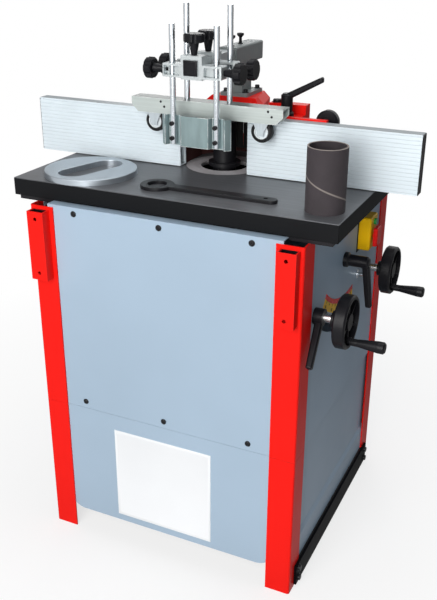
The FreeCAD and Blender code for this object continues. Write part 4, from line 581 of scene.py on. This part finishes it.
# %% finishes on the frame
SLOT_FINISH = {
    "red_paint": RED, "grey_paint": GREY, "black_steel": BLACK, "motor_paint": MOTOR,
    "table_iron": TABLE, "ring_steel": RING, "bright_steel": BRIGHT, "rod_chrome": CHROME,
    "fence_aluminium": FENCE, "block_aluminium": BLOCK, "zinc_sheet": ZINC, "dark_casting": CASTING,
    "black_plastic": PLASTIC, "yellow_plastic": YELLOW, "red_plastic": RED_PLASTIC,
    "green_plastic": GREEN_PLASTIC, "roller_rubber": RUBBER, "belt_rubber": BELT, "abrasive_cloth": ABRASIVE,
}
OWN_FINISH = {
    "oblong_insert_ring": OBLONG, "guard_plate": GUARD, "roller_forks": FORK,
    "fence_housing": HOUSING, "base_bars": BASE,
}
for part in frame["record"]["subparts"]:
    name = part["node"]
    mesh = frame["nodes"][name].data
    mesh.materials.clear()
    mesh.materials.append(OWN_FINISH.get(name, SLOT_FINISH[part["material_slot"]]))
print("dressed", len(frame["nodes"]), "pieces")

# %% [markdown]
# ## Modelling helpers
# The small fittings are modelled the way a hand would: place a primitive, pick faces, inset, extrude,
# bevel. These helpers start a piece at its place, pick its faces by where they lie or face, and finish it
# with its normals, smoothing, material and the body it moves with. Every piece is made with its own +z
# turned outward, so that its outer face is always its top.


# %% helpers that start a piece
QUARTER = math.pi / 2
TOWARD = {"+x": (0, QUARTER, 0), "-x": (0, -QUARTER, 0), "-y": (QUARTER, 0, 0), "+z": (0, 0, 0)}


def begin(name, shape, place, facing, **sizes):
    """Put a primitive at its place, its own +z turned to a facing, and go into edit mode."""
    bpy.ops.object.select_all(action="DESELECT")
    getattr(bpy.ops.mesh, "primitive_%s_add" % shape)(location=place, rotation=TOWARD[facing], **sizes)
    piece = bpy.context.object
    piece.name = name
    piece.data.name = name
    bpy.ops.object.mode_set(mode="EDIT")
    bpy.ops.mesh.select_mode(type="FACE")
    return piece


def begin_slab(name, place, facing, sides):
    """Start with a box of the given sides along x, y and z."""
    piece = begin(name, "cube", place, facing, size=1.0)
    bpy.ops.transform.resize(value=sides)
    return piece


print("starting helpers ready")


# %% helpers that shape a piece
def pick(piece, test):
    """Select the faces whose middle and normal pass a test, in the piece's own turn."""
    mesh = bmesh.from_edit_mesh(piece.data)
    for face in mesh.faces:
        face.select_set(test(face.calc_center_median(), face.normal))
    mesh.select_flush_mode()
    bmesh.update_edit_mesh(piece.data)


def top(piece):
    """Pick the highest level faces."""
    mesh = bmesh.from_edit_mesh(piece.data)
    high = max(vertex.co.z for vertex in mesh.verts)
    pick(piece, lambda spot, normal: normal.z > 0.9 and spot.z > high - 1e-6)


def ends(piece):
    """Pick the faces at both ends of a cylinder."""
    pick(piece, lambda spot, normal: abs(normal.z) > 0.9)


def inset(thickness, depth=0.0):
    """Inset the picked faces, and move them in depth."""
    bpy.ops.mesh.inset(thickness=thickness, depth=depth)


def lift(height):
    """Extrude the picked faces along their normal."""
    bpy.ops.mesh.extrude_region_shrink_fatten(TRANSFORM_OT_shrink_fatten={"value": height})


def soften(width, segments=2):
    """Bevel the edges round the picked faces."""
    bpy.ops.mesh.region_to_loop()
    bpy.ops.mesh.bevel(offset=width, segments=segments, affect="EDGES")
    bpy.ops.mesh.select_mode(type="FACE")


def step(piece, ledge, height):
    """Raise the top within a ledge, or sink it with a negative height."""
    top(piece)
    inset(ledge)
    lift(height)


def sunken_field(piece, rounding, border, slope, depth):
    """Soften the rim of the top and press a field into it."""
    top(piece)
    soften(rounding)
    top(piece)
    inset(border)
    inset(slope, -depth)


print("shaping helpers ready")


# %% helpers that finish a piece
SMOOTH_ANGLE = math.radians(35)


def hold(piece):
    """Make a piece the only one picked."""
    bpy.ops.object.select_all(action="DESELECT")
    piece.select_set(True)
    bpy.context.view_layer.objects.active = piece


def done(piece, material, body):
    """Leave edit mode and hand the piece over: applied, smoothed, dressed and riding its body."""
    bpy.ops.mesh.select_all(action="SELECT")
    bpy.ops.mesh.normals_make_consistent(inside=False)
    bpy.ops.object.mode_set(mode="OBJECT")
    bpy.ops.object.transform_apply(location=True, rotation=True, scale=True)
    bpy.ops.object.shade_smooth_by_angle(angle=SMOOTH_ANGLE)
    piece.data.materials.clear()
    piece.data.materials.append(material)
    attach(piece, body)
    return piece


def copies(piece, moves, body):
    """Copy a finished piece to other places, each with its own mesh."""
    made = []
    for number, move in enumerate(moves, start=2):
        hold(piece)
        bpy.ops.object.duplicate(linked=False)
        copy = bpy.context.object
        copy.name = "%s_%d" % (piece.name, number)
        copy.data.name = copy.name
        copy.parent = None
        copy.location = move
        bpy.ops.object.transform_apply(location=True, rotation=False, scale=False)
        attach(copy, body)
        made.append(copy)
    return made


print("finishing helpers ready")

# %% [markdown]
# ## Panel screws
# The front panel hangs on six button-head screws. The frame has plain discs for them; here one is modelled
# and then copied. It is a short cylinder with a raised and shrunken top, a sunken key hole and a softened
# shoulder, and it stands in for the frame's fasteners.

# %% panel screws
SCREW_COLUMNS = (-0.197, 0.0, 0.197)
SCREW_ROWS = (0.797, 0.358)
FLANGE = 0.0012
DOME_SHRINK = 0.72
first = (SCREW_COLUMNS[0], PANEL_FACE - FLANGE / 2, SCREW_ROWS[0])
screw = begin("panel_screw", "cylinder", first, "-y", vertices=24, radius=0.0064, depth=FLANGE)
step(screw, ledge=0.0004, height=0.0018)
bpy.ops.transform.resize(value=(DOME_SHRINK, DOME_SHRINK, DOME_SHRINK))
step(screw, ledge=0.0016, height=-0.0010)
pick(screw, lambda spot, normal: spot.z > 0.0002 and 0.05 < normal.z < 0.95)
soften(0.0003)
done(screw, BLACK, "cabinet")
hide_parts("cabinet_fasteners")
spots = [(x, z) for z in SCREW_ROWS for x in SCREW_COLUMNS]
moves = [(x - SCREW_COLUMNS[0], 0, z - SCREW_ROWS[0]) for x, z in spots[1:]]
copies(screw, moves, "cabinet")
print("panel screws", len(spots))

# %% [markdown]
# ## Socket liners as painted shade
# The two sockets on the front posts hold black plastic liners just below their mouths, dark pieces put in
# as painted shade for the shade inside the openings. A liner is a box with a softened rim and a deep hollow;
# a flat black face would do from afar, but it would show as flat in the light.

# %% socket liners
SOCKET_X = 0.275
LINER_Y = -0.3181
LINER_SIDES = (0.0326, 0.0192, 0.0095)
LINER_BELOW_MOUTH = 0.001
liner_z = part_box("socket_brackets")[1].z - LINER_BELOW_MOUTH - LINER_SIDES[2] / 2
# A dark liner, as painted shade in the socket's mouth.
liner = begin_slab("socket_shade_liner", (SOCKET_X, LINER_Y, liner_z), "+z", LINER_SIDES)
top(liner)
soften(0.0005)
step(liner, ledge=0.0020, height=-0.0060)
done(liner, PLASTIC, "cabinet")
copies(liner, [(-2 * SOCKET_X, 0, 0)], "cabinet")
print("socket liners at height", round(liner_z, 4))

# %% [markdown]
# ## Base seals
# A gap between each base bar and the side panel above it would let chips out. A flat seal closes it, from
# post to post: a thin slab with a softened upper rim, copied to the other side.

# %% base seals
SEAL_SIDES = (0.0102, 0.4785, 0.0034)
SEAL_GAP = 0.0002
SEAL_ABOVE_BAR = 0.0004
post_low, post_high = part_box("lower_corner_posts")
bar_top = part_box("base_bars")[1].z
seal_x = post_high.x - SEAL_GAP - SEAL_SIDES[0] / 2
seal_y = (post_low.y + post_high.y) / 2
seal_z = bar_top + SEAL_ABOVE_BAR - SEAL_SIDES[2] / 2
seal = begin_slab("base_seal", (seal_x, seal_y, seal_z), "+z", SEAL_SIDES)
top(seal)
soften(0.0006)
done(seal, PLASTIC, "cabinet")
copies(seal, [(-2 * seal_x, 0, 0)], "cabinet")
print("base seals", SEAL_SIDES)

# %% [markdown]
# ## Base bolts
# Each base bar is held by two bolts at either end. A bolt head is a cylinder raised on a washer, with a
# softened rim; one is modelled on each side of the machine, so that it faces outward, and copied along the
# bar.

# %% base bolts
BAR_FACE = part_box("base_bars")[1].x
WASHER = 0.0012
BOLT_Y, BOLT_Z = -0.265, 0.044
BOLT_COLUMN, BOLT_ROW = 0.508, -0.026
bolt_moves = [(0, y, z) for y in (0, BOLT_COLUMN) for z in (0, BOLT_ROW)]
for name, side, facing in (("right_base_bolt", 1, "+x"), ("left_base_bolt", -1, "-x")):
    place = (side * (BAR_FACE + WASHER / 2), BOLT_Y, BOLT_Z)
    bolt = begin(name, "cylinder", place, facing, vertices=24, radius=0.0085, depth=WASHER)
    step(bolt, ledge=0.0016, height=0.0040)
    soften(0.0008)
    done(bolt, BLACK, "cabinet")
    copies(bolt, bolt_moves[1:], "cabinet")
print("base bolts", 2 * len(bolt_moves))

# %% [markdown]
# ## Blank plate on the lower front panel
# A thin white enamelled plate is fixed to the lower panel. A coloured patch in the panel's material would
# have no edge to catch the light, so the plate is a flat sheet with softened edges and a shallow field
# pressed in from the rim.

# %% front plate
PLATE_SIDES = (0.238, 0.0012, 0.229)
PLATE_X, PLATE_Z = -0.007, 0.1885
plate = begin_slab("front_plate", (PLATE_X, PANEL_FACE - PLATE_SIDES[1] / 2, PLATE_Z), "-y", PLATE_SIDES)
sunken_field(plate, rounding=0.0004, border=0.006, slope=0.0008, depth=0.0004)
done(plate, WHITE, "cabinet")
print("plate", plate.name)

# %% [markdown]
# ## Caps on the square arm
# The arm is a hollow square section, closed at both ends with pushed-in plastic caps. A cap is a flat box
# with softened edges and a small sunken field, so that it catches the light along its rim. A hair of space
# between cap and arm keeps the two surfaces apart.

# %% arm caps
ARM_CAP_SIDES = (0.0296, 0.0030, 0.0296)
FRONT_SPACE, REAR_SPACE = 0.0001, 0.0002
arm_low, arm_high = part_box("holddown_arm")
front_y = arm_low.y - FRONT_SPACE - ARM_CAP_SIDES[1] / 2
rear_y = arm_high.y + REAR_SPACE + ARM_CAP_SIDES[1] / 2
arm_cap = begin_slab("arm_cap", (0, front_y, (arm_low.z + arm_high.z) / 2), "-y", ARM_CAP_SIDES)
sunken_field(arm_cap, rounding=0.0008, border=0.003, slope=0.0006, depth=0.0006)
done(arm_cap, PLASTIC, "arm")
copies(arm_cap, [(0, rear_y - front_y, 0)], "arm")
print("arm caps from", round(front_y, 4), "to", round(rear_y, 4))

# %% [markdown]
# ## Caps on the fences
# The outer end of each extruded fence is closed with a thin cap of the same kind. The caps ride with their
# fences, and the two look opposite ways, so each is modelled facing outward.

# %% fence caps
FENCE_CAP_SIDES = (0.0016, 0.0262, 0.1185)
FENCE_CAP_Y = -0.0455
FENCE_CAP_SPACE = 0.0001
for name, side, facing in (("left_fence", -1, "-x"), ("right_fence", 1, "+x")):
    fence_low, fence_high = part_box(name)
    outer = max(abs(fence_low.x), abs(fence_high.x))
    cap_x = side * (outer + FENCE_CAP_SPACE + FENCE_CAP_SIDES[0] / 2)
    place = (cap_x, FENCE_CAP_Y, (fence_low.z + fence_high.z) / 2)
    cap = begin_slab(name + "_cap", place, facing, FENCE_CAP_SIDES)
    sunken_field(cap, rounding=0.0005, border=0.0035, slope=0.0006, depth=0.0004)
    done(cap, PLASTIC, name)
    print("fence cap at", round(cap_x, 4))

# %% [markdown]
# ## Bracket screws
# The cast bracket sits on the hood with four socket screws on washers. One is modelled as a washer that is
# stepped up to a head, softened at its rim and sunk for the key, and then copied to the other corners of
# the foot.

# %% bracket screws
FOOT_TOP = 1.0
FOOT_X, FOOT_Y = 0.0235, 0.056
FOOT_WIDTH, FOOT_DEPTH = 2 * FOOT_X, 0.066
place = (-FOOT_X, FOOT_Y, FOOT_TOP + WASHER / 2)
cap_screw = begin("bracket_screw", "cylinder", place, "+z", vertices=32, radius=0.0075, depth=WASHER)
step(cap_screw, ledge=0.0024, height=0.0062)
soften(0.0006)
step(cap_screw, ledge=0.0022, height=-0.0030)
done(cap_screw, BLACK, "fence_unit")
corners = [(FOOT_WIDTH, 0, 0), (0, FOOT_DEPTH, 0), (FOOT_WIDTH, FOOT_DEPTH, 0)]
copies(cap_screw, corners, "fence_unit")
print("bracket screws", 1 + len(corners))

# %% [markdown]
# ## Set screws
# Two set screws with flared plastic heads stand on the bracket's sleeve and clamp the arm. The flare is an
# extruded top that is scaled up before it is extruded again, as a hand would do it on a profile.

# %% set screws
SET_SCREW_Y, SET_SCREW_Z = 0.033, 1.1007
SET_SCREW_PITCH = 0.045
FLARE = 2.35
place = (0, SET_SCREW_Y, SET_SCREW_Z)
set_screw = begin("set_screw", "cylinder", place, "+z", vertices=32, radius=0.0058, depth=0.0016)
step(set_screw, ledge=0.0026, height=0.0120)
lift(0.0042)
bpy.ops.transform.resize(value=(FLARE, FLARE, 1))
lift(0.0046)
soften(0.0012)
step(set_screw, ledge=0.0030, height=-0.0012)
done(set_screw, PLASTIC, "fence_unit")
copies(set_screw, [(0, SET_SCREW_PITCH, 0)], "fence_unit")
print("set screws, pitch", SET_SCREW_PITCH)

# %% [markdown]
# ## Guard screws
# Four dark pan heads hold the bent guard to its two rods. Each is a cylinder with a softened rim and a
# sunken key hole; they ride with the guard.

# %% guard screws
GUARD_SCREW_X, GUARD_SCREW_Y, GUARD_SCREW_Z = 0.0485, -0.1512, 0.936
ROD_SPAN, GUARD_SCREW_RISE = 2 * GUARD_SCREW_X, 0.03
place = (-GUARD_SCREW_X, GUARD_SCREW_Y, GUARD_SCREW_Z)
guard_screw = begin("guard_screw", "cylinder", place, "-y", vertices=24, radius=0.0046, depth=0.0024)
top(guard_screw)
lift(0.0036)
soften(0.0006)
step(guard_screw, ledge=0.0018, height=-0.0020)
done(guard_screw, BLACK, "guard")
guard_moves = [(0, 0, GUARD_SCREW_RISE), (ROD_SPAN, 0, 0), (ROD_SPAN, 0, GUARD_SCREW_RISE)]
copies(guard_screw, guard_moves, "guard")
print("guard screws", 1 + len(guard_moves))

# %% [markdown]
# ## Bar rivets
# Two small rivets hold each roller fork in its bar. A rivet head is half a ball, flattened: the rear half
# of a sphere is deleted, the rest is squeezed against the bar's face, and the open side is closed with a
# face.

# %% bar rivets
RIVET_PLACE = (0.140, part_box("roller_bar")[0].y, 0.997)
RIVET_STEP = (0.008, 0, -0.010)
FORK_SPAN = 0.242
rivet = begin("bar_rivet", "uv_sphere", RIVET_PLACE, "-y", segments=20, ring_count=10, radius=0.0026)
pick(rivet, lambda spot, normal: spot.z < 0)
bpy.ops.mesh.delete(type="FACE")
bpy.ops.mesh.select_all(action="SELECT")
bpy.ops.transform.resize(value=(1, 0.5, 1), center_override=RIVET_PLACE)
bpy.ops.mesh.select_mode(type="EDGE")
bpy.ops.mesh.select_all(action="DESELECT")
bpy.ops.mesh.select_non_manifold()
bpy.ops.mesh.edge_face_add()
bpy.ops.mesh.select_mode(type="FACE")
done(rivet, BLACK, "roller_unit")
rivet_moves = [RIVET_STEP, (-FORK_SPAN, 0, 0), (RIVET_STEP[0] - FORK_SPAN, 0, RIVET_STEP[2])]
copies(rivet, rivet_moves, "roller_unit")
print("bar rivets", 1 + len(rivet_moves))

# %% [markdown]
# ## Curtain in the dust outlet
# Dark rubber strips hang inside the hood in front of the outlet, a dark sheet put in as painted shade for the
# shade there; they also close off the view through the outlet. One strip is a thin slab with softened
# edges; four more are copied beside it.

# %% outlet curtain
STRIP_SIDES = (0.0202, 0.0014, 0.088)
STRIP_PITCH = 0.0208
STRIP_COUNT = 5
STRIP_Y, STRIP_Z = 0.1262, 0.903
first_x = -STRIP_PITCH * (STRIP_COUNT - 1) / 2
# Each strip is a dark sheet standing in for the shade in the hood.
strip = begin_slab("outlet_shade_strip", (first_x, STRIP_Y, STRIP_Z), "-y", STRIP_SIDES)
top(strip)
soften(0.0004)
done(strip, BELT, "fence_unit")
copies(strip, [(STRIP_PITCH * count, 0, 0) for count in range(1, STRIP_COUNT)], "fence_unit")
print("curtain of", STRIP_COUNT, "strips")

# %% [markdown]
# ## Two-tone rollers
# Each pressure roller is a black tyre on a pale plastic hub that turns on a bolt. Two colours on one disc
# would have no step between them, so they are two pieces that stand in for the plain roller of the frame:
# the tyre is a ring with softened shoulders, and the hub a disc with a sunken web and a raised boss.
# Bridging the inset faces of both ends opens the bore.

# %% rollers
ROLLER_Y, ROLLER_Z = -0.082, 0.953
TYRE_RADIUS, TYRE_WIDTH = 0.0225, 0.018
HUB_RADIUS, HUB_WIDTH = 0.0149, 0.0170
for name, x in (("left_roller", -0.122), ("right_roller", 0.122)):
    place = (x, ROLLER_Y, ROLLER_Z)
    tyre = begin(name + "_tyre", "cylinder", place, "-y", vertices=64, radius=TYRE_RADIUS, depth=TYRE_WIDTH)
    ends(tyre)
    soften(0.0035, segments=4)
    ends(tyre)
    inset(0.0040)
    bpy.ops.mesh.bridge_edge_loops()
    done(tyre, RUBBER, name)
    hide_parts(name)
    hub = begin(name + "_hub", "cylinder", place, "-y", vertices=64, radius=HUB_RADIUS, depth=HUB_WIDTH)
    ends(hub)
    inset(0.0022)
    lift(-0.0028)
    inset(0.0055)
    lift(0.0024)
    inset(0.0026)
    bpy.ops.mesh.bridge_edge_loops()
    done(hub, HUB, name)
    print("roller", name, "at", x)

# %% [markdown]
# ## Switch shadow plate
# A black plate behind the yellow switch shows as a dark line round its foot, put in as painted shadow of the
# switch. A dark line in the panel's paint would lie flat, so the plate is a slab: centred on the switch, a
# little larger all round, and softened at its front rim.

# %% switch plate
SWITCH_PLATE_SIDES = (0.0018, 0.062, 0.085)
SWITCH_PLATE_SPACE = 0.0002
switch_low, switch_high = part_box("switch_housing")
place = (switch_low + switch_high) / 2
place.x = SIDE_FACE + SWITCH_PLATE_SPACE + SWITCH_PLATE_SIDES[0] / 2
# A black slab as painted shadow round the switch's foot.
back = begin_slab("switch_shadow_plate", place, "+x", SWITCH_PLATE_SIDES)
top(back)
soften(0.0006)
done(back, PLASTIC, "cabinet")
print("switch shadow plate", back.name)

# %% [markdown]
# ## Stop bolt
# A chrome bolt beside the lever limits the tilt. It is a round shank on a washer, and its head is the
# shank's top, raised a little, widened and raised again, with a softened rim.

# %% stop bolt
STOP_WASHER = 0.0020
STOP_Y, STOP_Z = 0.066, 0.618
STOP_FLARE = 1.45
place = (SIDE_FACE + STOP_WASHER / 2, STOP_Y, STOP_Z)
stop = begin("stop_bolt", "cylinder", place, "+x", vertices=32, radius=0.0100, depth=STOP_WASHER)
step(stop, ledge=0.0045, height=0.0120)
lift(0.0010)
bpy.ops.transform.resize(value=(1, STOP_FLARE, STOP_FLARE))
lift(0.0060)
soften(0.0012)
done(stop, CHROME, "cabinet")
print("stop bolt at", STOP_Y, STOP_Z)

# %% [markdown]
# ## Ledge cap
# A dark cap closes the post on the ledge of the fence housing. It is a round button on a thin flange, and
# a wide bevel of four segments gives it a turned shoulder.

# %% ledge cap
LEDGE_X, LEDGE_Y, LEDGE_TOP = 0.098, 0.0585, 0.986
place = (LEDGE_X, LEDGE_Y, LEDGE_TOP + FLANGE / 2)
cap_nut = begin("ledge_cap", "cylinder", place, "+z", vertices=32, radius=0.0115, depth=FLANGE)
step(cap_nut, ledge=0.0016, height=0.0060)
soften(0.0030, segments=4)
done(cap_nut, PLASTIC, "fence_unit")
print("ledge cap", cap_nut.name)

# %% [markdown]
# ## Tilt scale
# A bent two-colour strip on the right side shows the tilt: red above, yellow below, round the tilt axis at
# table height. An image could hold the scale, but raised strips stay sharp up close. Each half is made as
# on a lathe: one edge across the strip is spun about the tilt axis, and the band is then given a
# thickness.


# %% tilt scale strips
AXIS = Vector((0, 0, TABLE_TOP))
SCALE_FIRST, SCALE_LAST, SCALE_STEPS = -38, 8, 40
SCALE_FACE = SIDE_FACE + 0.0001
SCALE_THICKNESS = 0.0006


def arc_edge(name, inner, outer):
    """One edge below the tilt axis, from an inner to an outer radius, in edit mode."""
    bpy.ops.object.select_all(action="DESELECT")
    middle = AXIS + Vector((SCALE_FACE, 0, -(inner + outer) / 2))
    bpy.ops.mesh.primitive_plane_add(size=1.0, location=middle, rotation=(0, QUARTER, 0))
    piece = bpy.context.object
    piece.name = name
    piece.data.name = name
    piece.scale = (outer - inner, 0.001, 1)
    bpy.ops.object.transform_apply(location=True, rotation=True, scale=True)
    bpy.ops.object.mode_set(mode="EDIT")
    bpy.ops.mesh.select_mode(type="EDGE")
    mesh = bmesh.from_edit_mesh(piece.data)
    for edge in mesh.edges:
        edge.select_set(min(vertex.co.y for vertex in edge.verts) > 0)
    mesh.select_flush_mode()
    bmesh.update_edit_mesh(piece.data)
    bpy.ops.mesh.select_all(action="INVERT")
    bpy.ops.mesh.delete(type="EDGE_FACE")
    bpy.ops.mesh.select_all(action="SELECT")
    return piece


def arc_strip(name, inner, outer, material):
    """A thin strip along an arc in the side panel's plane."""
    piece = arc_edge(name, inner, outer)
    pivot = AXIS + Vector((SCALE_FACE, 0, 0))
    bpy.ops.transform.rotate(value=math.radians(-SCALE_FIRST), orient_axis="X", center_override=pivot)
    sweep = math.radians(SCALE_FIRST - SCALE_LAST)
    bpy.ops.mesh.spin(steps=SCALE_STEPS, angle=sweep, center=pivot, axis=(1, 0, 0))
    bpy.ops.mesh.select_all(action="SELECT")
    bpy.ops.mesh.remove_doubles(threshold=0.00001)
    bpy.ops.mesh.normals_make_consistent(inside=False)
    bpy.ops.mesh.select_mode(type="FACE")
    bpy.ops.mesh.extrude_region_move(TRANSFORM_OT_translate={"value": (SCALE_THICKNESS, 0, 0)})
    return done(piece, material, "cabinet")


arc_strip("scale_red", inner=0.2485, outer=0.259, material=RED_PLASTIC)
yellow_strip = arc_strip("scale_yellow", inner=0.2592, outer=0.278, material=YELLOW)
reach = [vertex.co.y for vertex in yellow_strip.data.vertices]
print("scale from", round(min(reach), 3), "to", round(max(reach), 3))

# %% [markdown]
# ## Ticks on the scale
# Plain raised ticks stand on the yellow half, one every five degrees. The first is modelled straight below
# the tilt axis and copied in place, and then each is swung to its angle, so that all point at the axis.


# %% scale ticks
TICK_X = 0.3
TICK_RADIUS = 0.2625
TICK_SIDES = (0.0006, 0.0009, 0.0055)
TICK_ANGLES = range(-35, 10, 5)


def swing(piece, angle):
    """Turn a finished piece round the tilt axis."""
    turn = Euler((math.radians(angle), 0, 0))
    piece.rotation_euler = turn
    piece.location = AXIS - turn.to_matrix() @ AXIS
    hold(piece)
    bpy.ops.object.transform_apply(location=True, rotation=True, scale=False)


tick = begin_slab("scale_tick", (TICK_X, 0, TABLE_TOP - TICK_RADIUS), "+x", TICK_SIDES)
top(tick)
soften(0.0001, segments=1)
done(tick, PLASTIC, "cabinet")
others = copies(tick, [(0, 0, 0)] * (len(TICK_ANGLES) - 1), "cabinet")
for piece, angle in zip([tick] + others, TICK_ANGLES):
    swing(piece, angle)
print("ticks", len(TICK_ANGLES))

# %% [markdown]
# ## Numbers on the scale
# Below every second tick stands the tilt in degrees. Text objects give clean letter shapes; each is raised
# a little, made a mesh and joined at its seams before it is swung to its tick.

# %% scale numbers
NUMBER_X = 0.2998
NUMBER_RADIUS = 0.2755
for word, angle in (("0", -35), ("10", -25), ("20", -15), ("30", -5)):
    bpy.ops.object.select_all(action="DESELECT")
    place = (NUMBER_X, 0, TABLE_TOP - NUMBER_RADIUS)
    bpy.ops.object.text_add(location=place, rotation=(QUARTER, 0, QUARTER))
    number = bpy.context.object
    number.data.body = word
    number.data.size = 0.0105
    number.data.align_x = "CENTER"
    number.data.extrude = 0.0002
    bpy.ops.object.convert(target="MESH")
    number.name = "scale_number_" + word
    number.data.name = number.name
    bpy.ops.object.transform_apply(location=True, rotation=True, scale=True)
    bpy.ops.object.mode_set(mode="EDIT")
    bpy.ops.mesh.select_all(action="SELECT")
    bpy.ops.mesh.remove_doubles(threshold=0.000001)
    done(number, PLASTIC, "cabinet")
    swing(number, angle)
    print("number", word, "at", angle)

# %% [markdown]
# ## World
# The machine stands before a white background, as in a catalogue. A white world would also light it from
# all sides and wash out every shadow, so only the camera sees the white, and everything else gets a dim
# light. Metal needs something to mirror: it sees a white front and back and darker sides, which gives the
# round rods a bright middle and dark edges.


# %% world
WHITE_LIGHT = (1, 1, 1, 1)
DIM_LIGHT, DIM_STRENGTH = (0.80, 0.90, 1.0, 1), 0.16
SIDE_LEVEL = 0.30
SIDE_START, SIDE_END = 0.35, 0.9


def mix_shaders(tree, factor, first, second):
    """Show the first shader where the factor is 0 and the second where it is 1."""
    node = add(tree, "MixShader", Fac=factor)
    wire(tree, node, 1, first)
    wire(tree, node, 2, second)
    return node.outputs["Shader"]


world = bpy.data.worlds.new("studio")
bpy.context.scene.world = world
world.use_nodes = True
tree = world.node_tree
tree.nodes.clear()
rays = add(tree, "LightPath").outputs
course = add(tree, "SeparateXYZ", Vector=add(tree, "TexCoord").outputs["Generated"]).outputs["X"]
level = spread(tree, size_of(tree, course), 1.0, SIDE_LEVEL, start=SIDE_START, end=SIDE_END)
room = add(tree, "Background", Color=WHITE_LIGHT, Strength=level).outputs["Background"]
dim = add(tree, "Background", Color=DIM_LIGHT, Strength=DIM_STRENGTH).outputs["Background"]
white = add(tree, "Background", Color=WHITE_LIGHT, Strength=1.0).outputs["Background"]
unseen = mix_shaders(tree, rays["Is Glossy Ray"], dim, room)
seen = mix_shaders(tree, rays["Is Camera Ray"], unseen, white)
tree.links.new(seen, add(tree, "OutputWorld").inputs["Surface"])
print("world", world.name)

# %% [markdown]
# ## Floor
# A plain pale floor runs on into the white background. It takes the machine's shadow, but a glow that
# grows with the distance hides where the floor ends. It doesn't glow under the machine, where it would
# show as white through the slots of the cabinet. Metal mirrors a floor that darkens to the rear, and what
# light it throws back is grey, so that the undersides stay dark.


# %% floor
FLOOR_SIDE = 60
PALE, THROWN = (0.9, 0.9, 0.9, 1), (0.35, 0.35, 0.36, 1)
GLOW_NEAR, GLOW_START, GLOW_END = 0.72, 0.35, 1.5
REAR_LEVEL, FADE_START, FADE_END = 0.22, -1.2, 0.8
UNDER_HALF, UNDER_FRONT, UNDER_REAR = 0.298, -0.10, 0.28


def floor_finish():
    made = bpy.data.materials.new("floor_paper")
    made.use_nodes = True
    tree = made.node_tree
    tree.nodes.clear()
    rays = add(tree, "LightPath").outputs
    spot = add(tree, "TexCoord").outputs["Object"]
    parts = add(tree, "SeparateXYZ", Vector=spot).outputs
    depth = spread(tree, parts["Y"], 1.0, REAR_LEVEL, start=FADE_START, end=FADE_END)
    sheet = add(tree, "Emission", Color=WHITE_LIGHT, Strength=depth).outputs["Emission"]
    thrown = add(tree, "BsdfDiffuse", Color=THROWN).outputs["BSDF"]
    unseen = mix_shaders(tree, rays["Is Glossy Ray"], thrown, sheet)
    away = reckon(tree, "VectorMath", "LENGTH", spot)["Value"]
    share = spread(tree, away, GLOW_NEAR, 1.0, start=GLOW_START, end=GLOW_END)
    across = below(tree, size_of(tree, parts["X"]), UNDER_HALF)
    under = multiply(tree, across, below(tree, parts["Y"], UNDER_REAR), below(tree, UNDER_FRONT, parts["Y"]))
    pale = add(tree, "BsdfDiffuse", Color=PALE).outputs["BSDF"]
    glow = add(tree, "Emission", Color=WHITE_LIGHT, Strength=1.0).outputs["Emission"]
    lit = mix_shaders(tree, blend(tree, under, share, (0, 0, 0, 1)), pale, glow)
    ground = mix_shaders(tree, rays["Is Camera Ray"], unseen, lit)
    tree.links.new(ground, add(tree, "OutputMaterial").inputs["Surface"])
    return made


bpy.ops.object.select_all(action="DESELECT")
bpy.ops.mesh.primitive_plane_add(size=FLOOR_SIDE, location=(0, 0, 0))
floor = bpy.context.object
floor.name = "studio_floor"
floor.data.materials.append(floor_finish())
print("floor", floor.name)

# %% [markdown]
# ## Lamps
# A broad lamp stands in front and a low one beside it at the right, so that the front is bright, the right
# side lies in half-shade and some light reaches under the table. A weak lamp hangs above, and another
# stands behind and keeps the rear readable. Large square lamps are chosen because their shadows are soft.


# %% lamps
def lamp(name, place, target, size, power, colour):
    """A square lamp that faces a target."""
    bpy.ops.object.light_add(type="AREA", location=place)
    made = bpy.context.object
    made.name = name
    made.data.shape = "SQUARE"
    made.data.size = size
    made.data.energy = power
    made.data.color = colour
    made.rotation_euler = (Vector(target) - Vector(place)).to_track_quat("-Z", "Y").to_euler()
    print("lamp", name, power, "W")


lamp("key_lamp", place=(0.0, -3.6, 2.3), target=(0, -0.1, 0.55), size=2.4, power=116.0,
     colour=(1.0, 0.98, 0.96))
lamp("top_lamp", place=(0.2, 0.6, 3.4), target=(0, 0, 0.8), size=2.0, power=36.0,
     colour=(1.0, 1.0, 1.0))
lamp("low_lamp", place=(0.7, -3.4, 1.2), target=(0.2, 0, 0.6), size=1.4, power=50.0,
     colour=(1.0, 0.99, 0.97))
lamp("rear_lamp", place=(-1.6, 3.2, 0.9), target=(0, 0.2, 0.5), size=1.2, power=22.0,
     colour=(1.0, 0.99, 0.98))

# %% [markdown]
# ## Camera
# The camera stands where a person would: to the front right, above the table, looking down. Its heading
# turns it about the upright, its dip tips it down, and a trace of roll levels the picture. A plain view
# transform keeps the colours as they are mixed.

# %% camera
CAMERA_PLACE = (0.7666, -1.6655, 1.3361)
HEADING, DIP, ROLL = math.radians(25.1), math.radians(23.94), math.radians(0.22)
bpy.ops.object.camera_add(location=CAMERA_PLACE)
camera = bpy.context.object
camera.name = "photo_camera"
aim = Euler((0, 0, HEADING)).to_matrix() @ Euler((QUARTER - DIP, 0, 0)).to_matrix()
camera.rotation_euler = (aim @ Euler((0, 0, ROLL)).to_matrix()).to_euler()
camera.data.sensor_width = 36.0
camera.data.lens = 50.76
bpy.context.scene.camera = camera
bpy.context.scene.view_settings.view_transform = "Standard"
print("camera", camera.location[:], "lens", camera.data.lens)
